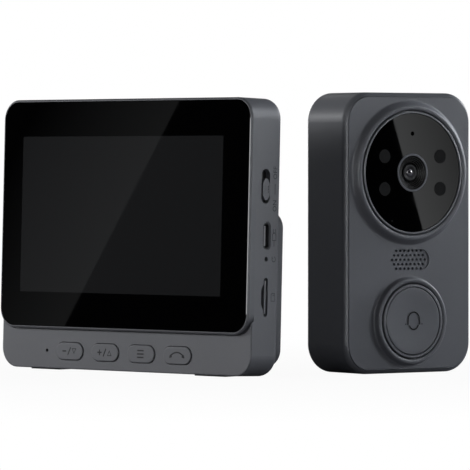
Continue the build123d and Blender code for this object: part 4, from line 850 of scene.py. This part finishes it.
mesh_wire = metal("mesh_wire", (0.02, 0.02, 0.022), 0.5, (6, 6, 6))
grille = doorbell.spans("grille_mesh")
wide, thick, high = (end - start for start, end in grille)
WIRE_RADIUS, WEAVE_PITCH = thick / 4, 2 * thick
count_across, count_upright = (2 * int(reach / WEAVE_PITCH / 2) - 1 for reach in (high, wide))
weave = weave_tree()
weave_face = front_face(doorbell, [sum(span) / 2 for span in grille])
quarter_turn = Matrix.Rotation(radians(90), 4, "Z")
interlaced = -1 if (count_upright - count_across) // 2 % 2 == 0 else 1
weave_sets = {
    "grille_wires_across": (count_across, count_upright, 1, weave_face),
    "grille_wires_upright": (count_upright, count_across, interlaced, weave_face @ quarter_turn),
}
for name, (wires, crossings, side, face) in weave_sets.items():
    values = {"Wires": wires, "Crossings": crossings, "Pitch": WEAVE_PITCH, "Wire Radius": WIRE_RADIUS,
              "Wave": side * WIRE_RADIUS, "Material": mesh_wire}
    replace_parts(grow(name, weave, values, face, "bell_unit"), "grille_mesh")

# %% [markdown]
# The lens sits at the bottom of a black funnel. Fine grooves turned into such a funnel keep stray light away
# from the lens, so a ring repeats down the cone: Geometry Nodes put circles on a row of points, each
# smaller than the one before, and give them a thin round section. The lens barrel's front is a turned
# part, so it is one outline spun round the axis, and its glass is a shallow dome.


# %% Grooved funnel and the lens in it
def rings_tree():
    """Thin rings along Z whose radius shrinks evenly."""
    tree, sizes = new_tree("funnel_rings", [
        ("Rings", "Int", 5), ("First Radius", "Float", 5.0), ("Shrink", "Float", 0.5),
        ("Step", "Float", 0.4), ("Thickness", "Float", 0.1), ("Material", "Material", None)])
    step = add(tree, "ShaderNodeCombineXYZ", {"Z": calculate(tree, "MULTIPLY", sizes["Step"], -1.0)})
    row = add(tree, "GeometryNodeMeshLine", {"Count": sizes["Rings"], "Offset": step.outputs[0]})
    number = add(tree, "GeometryNodeInputIndex").outputs[0]
    shrunk = calculate(tree, "MULTIPLY", number, sizes["Shrink"])
    radius = calculate(tree, "SUBTRACT", sizes["First Radius"], shrunk)
    scale = add(tree, "ShaderNodeCombineXYZ", {"X": radius, "Y": radius, "Z": 1.0})
    ring = add(tree, "GeometryNodeCurvePrimitiveCircle", {"Resolution": 64, "Radius": 1.0})
    copies = add(tree, "GeometryNodeInstanceOnPoints", {
        "Points": row.outputs[0], "Instance": ring.outputs[0], "Scale": scale.outputs[0]})
    real = add(tree, "GeometryNodeRealizeInstances", {"Geometry": copies.outputs[0]})
    section = add(tree, "GeometryNodeCurvePrimitiveCircle", {"Resolution": 8, "Radius": sizes["Thickness"]})
    tube = add(tree, "GeometryNodeCurveToMesh", {
        "Curve": real.outputs[0], "Profile Curve": section.outputs[0]})
    finish_tree(tree, sizes, tube.outputs[0])
    return tree


def turned(name, outline, place, body, material, steps=64):
    """A closed solid spun from an outline of (radius, height) points that starts and ends on the axis."""
    work = bmesh.new()
    rims = []
    for radius, height in outline:
        angles = [2 * pi * turn / steps for turn in range(1 if radius == 0 else steps)]
        rims.append([work.verts.new((radius * cos(angle), radius * sin(angle), height)) for angle in angles])
    for upper, lower in zip(rims, rims[1:]):
        for turn in range(steps):
            corners = [upper[turn % len(upper)], upper[(turn + 1) % len(upper)],
                       lower[(turn + 1) % len(lower)], lower[turn % len(lower)]]
            work.faces.new(list(dict.fromkeys(corners)))
    bmesh.ops.recalc_face_normals(work, faces=work.faces)
    mesh = bpy.data.meshes.new(name)
    work.to_mesh(mesh)
    work.free()
    mesh.transform(place)
    mesh.shade_smooth()
    mesh.materials.append(material)
    piece = bpy.data.objects.new(name, mesh)
    bpy.context.scene.collection.objects.link(piece)
    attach(piece, body)


FUNNEL_RADIUS, FUNNEL_SLOPE = 5.75, 1.22
RINGS, RING_STEP, RING_THICKNESS = 4, 0.4, 0.1
LENS_DEEP = 1.5
funnel_black = moulded("funnel_black", (0.006, 0.006, 0.006), 0.42, 0.3, grain=0.3, depth=0.006)
barrel_black = moulded("barrel_black", (0.030, 0.030, 0.031), 0.50, 0.1, grain=0.3, depth=0.004)
shrink = RING_STEP * FUNNEL_SLOPE
funnel_values = {"Rings": RINGS, "First Radius": FUNNEL_RADIUS - shrink - RING_THICKNESS, "Shrink": shrink,
                 "Step": RING_STEP, "Thickness": RING_THICKNESS, "Material": funnel_black}
funnel_face = front_face(doorbell, LENS_CENTRE + Vector((0, RING_STEP, 0)))
grow("funnel_rings", rings_tree(), funnel_values, funnel_face, "bell_unit")
barrel_outline = [(0, -1.0), (2.7, -1.0), (2.75, -0.05), (2.7, 0.0), (2.0, 0.0), (1.9, -0.12), (1.5, -0.12),
                  (1.4, -0.3), (0, -0.3)]
lens_face = front_face(doorbell, LENS_CENTRE + Vector((0, LENS_DEEP, 0)))
turned("lens_barrel_front", barrel_outline, lens_face, "bell_unit", barrel_black)
DOME_RADIUS, DOME_RISE, DOME_RIM, DOME_BACK = 1.4, 0.42, -0.25, -0.5
quarter = [radians(angle) for angle in range(0, 90, 15)]
dome_outline = [(0, DOME_BACK), (DOME_RADIUS, DOME_BACK),
                *((DOME_RADIUS * cos(angle), DOME_RIM + DOME_RISE * sin(angle)) for angle in quarter),
                (0, DOME_RIM + DOME_RISE)]
turned("lens_dome", dome_outline, lens_face, "bell_unit", finishes["lens"])
print("the lens lies", LENS_DEEP, "mm down its funnel")

# %% [markdown]
# The monitor's power socket has a tongue with a row of small gilded contacts on each side. They are the
# same little bar again and again, so Geometry Nodes put one on a line of points, and the tree runs once
# for each side. The socket is one solid, so its material makes the tongue paler than the shell by place.
# The shell's near-black colour is painted shade of the opening.


# %% Contacts on the socket's tongue
def contacts_tree():
    """Small bars in a row along Y."""
    tree, sizes = new_tree("socket_contacts", [
        ("Contacts", "Int", 12), ("Pitch", "Float", 0.5), ("Length", "Float", 3.4),
        ("Width", "Float", 0.26), ("Thickness", "Float", 0.04), ("Material", "Material", None)])
    gaps = calculate(tree, "SUBTRACT", sizes["Contacts"], 1.0)
    first = calculate(tree, "MULTIPLY", calculate(tree, "MULTIPLY", gaps, sizes["Pitch"]), -0.5)
    start = add(tree, "ShaderNodeCombineXYZ", {"Y": first})
    step = add(tree, "ShaderNodeCombineXYZ", {"Y": sizes["Pitch"]})
    row = add(tree, "GeometryNodeMeshLine", {
        "Count": sizes["Contacts"], "Start Location": start.outputs[0], "Offset": step.outputs[0]})
    size = add(tree, "ShaderNodeCombineXYZ", {
        "X": sizes["Length"], "Y": sizes["Width"], "Z": sizes["Thickness"]})
    bar = add(tree, "GeometryNodeMeshCube", {"Size": size.outputs[0]})
    copies = add(tree, "GeometryNodeInstanceOnPoints", {
        "Points": row.outputs[0], "Instance": bar.outputs["Mesh"]})
    finish_tree(tree, sizes, copies.outputs[0])
    return tree


socket = monitor.spans("usb_port")
TONGUE_HALF, TONGUE_HALF_WIDE, TONGUE_SET_BACK = 0.35, 3.35, 0.7
CONTACTS, CONTACT_PITCH, CONTACT_FROM_TIP = 12, 0.5, 2.1
TONGUE_GREY = (0.13, 0.132, 0.14)
TONGUE_END = socket[0][1] - TONGUE_SET_BACK
# Painted shade: the shell's near-black colour stands in for the shade inside the socket.
shaded_socket = metal("shaded_socket", (0.045, 0.045, 0.048), 0.42)
tree, bsdf = shader_of(shaded_socket)
socket_middle = [sum(span) / 2 for span in socket]
local = add(tree, "ShaderNodeSeparateXYZ", {0: own_millimetres(tree, monitor, socket_middle)})
depth, height = (calculate(tree, "ABSOLUTE", local.outputs[axis]) for axis in ("Y", "Z"))
on_tongue = calculate(tree, "MULTIPLY", ramp(tree, depth, TONGUE_HALF + 0.05, TONGUE_HALF + 0.1, 1.0, 0.0),
                      ramp(tree, height, TONGUE_HALF_WIDE + 0.05, TONGUE_HALF_WIDE + 0.1, 1.0, 0.0))
shell_shade = bsdf.inputs["Base Color"].links[0].from_socket
tree.links.new(mix_colours(tree, on_tongue, shell_shade, TONGUE_GREY), bsdf.inputs["Base Color"])
tree.links.new(calculate(tree, "SUBTRACT", 1.0, on_tongue), bsdf.inputs["Metallic"])
frame["nodes"]["usb_port"].data.materials[0] = shaded_socket

gilding = metal("gilding", (0.75, 0.52, 0.20), 0.28)
contacts = contacts_tree()
contact_values = {"Contacts": CONTACTS, "Pitch": CONTACT_PITCH, "Material": gilding}
for side, direction in (("front", -1), ("rear", 1)):
    middle = (TONGUE_END - CONTACT_FROM_TIP, sum(socket[1]) / 2 + direction * TONGUE_HALF,
              sum(socket[2]) / 2)
    face = face_matrix(monitor, middle, ALONG_X, Vector((0, 0, -direction)), Vector((0, direction, 0)))
    grow("socket_contacts_" + side, contacts, contact_values, face, "monitor")

# %% Light sensor behind the window
sensor = doorbell.centre("light_sensor")
sensor_face = front_face(doorbell, (sensor.x, WINDOW_FRONT, sensor.z))
SENSOR_WIDE = 0.6
sensor_line = [(-SENSOR_WIDE / 2, 0), (SENSOR_WIDE / 2, 0)]
sensor_dot = lines_mesh("light_sensor_dot", [sensor_line], SENSOR_WIDE)
sign("light_sensor_dot", sensor_dot, sensor_face, "bell_unit", filter_resin)
print("the light sensor shows at", round(sensor.x, 1), round(sensor.z, 1))
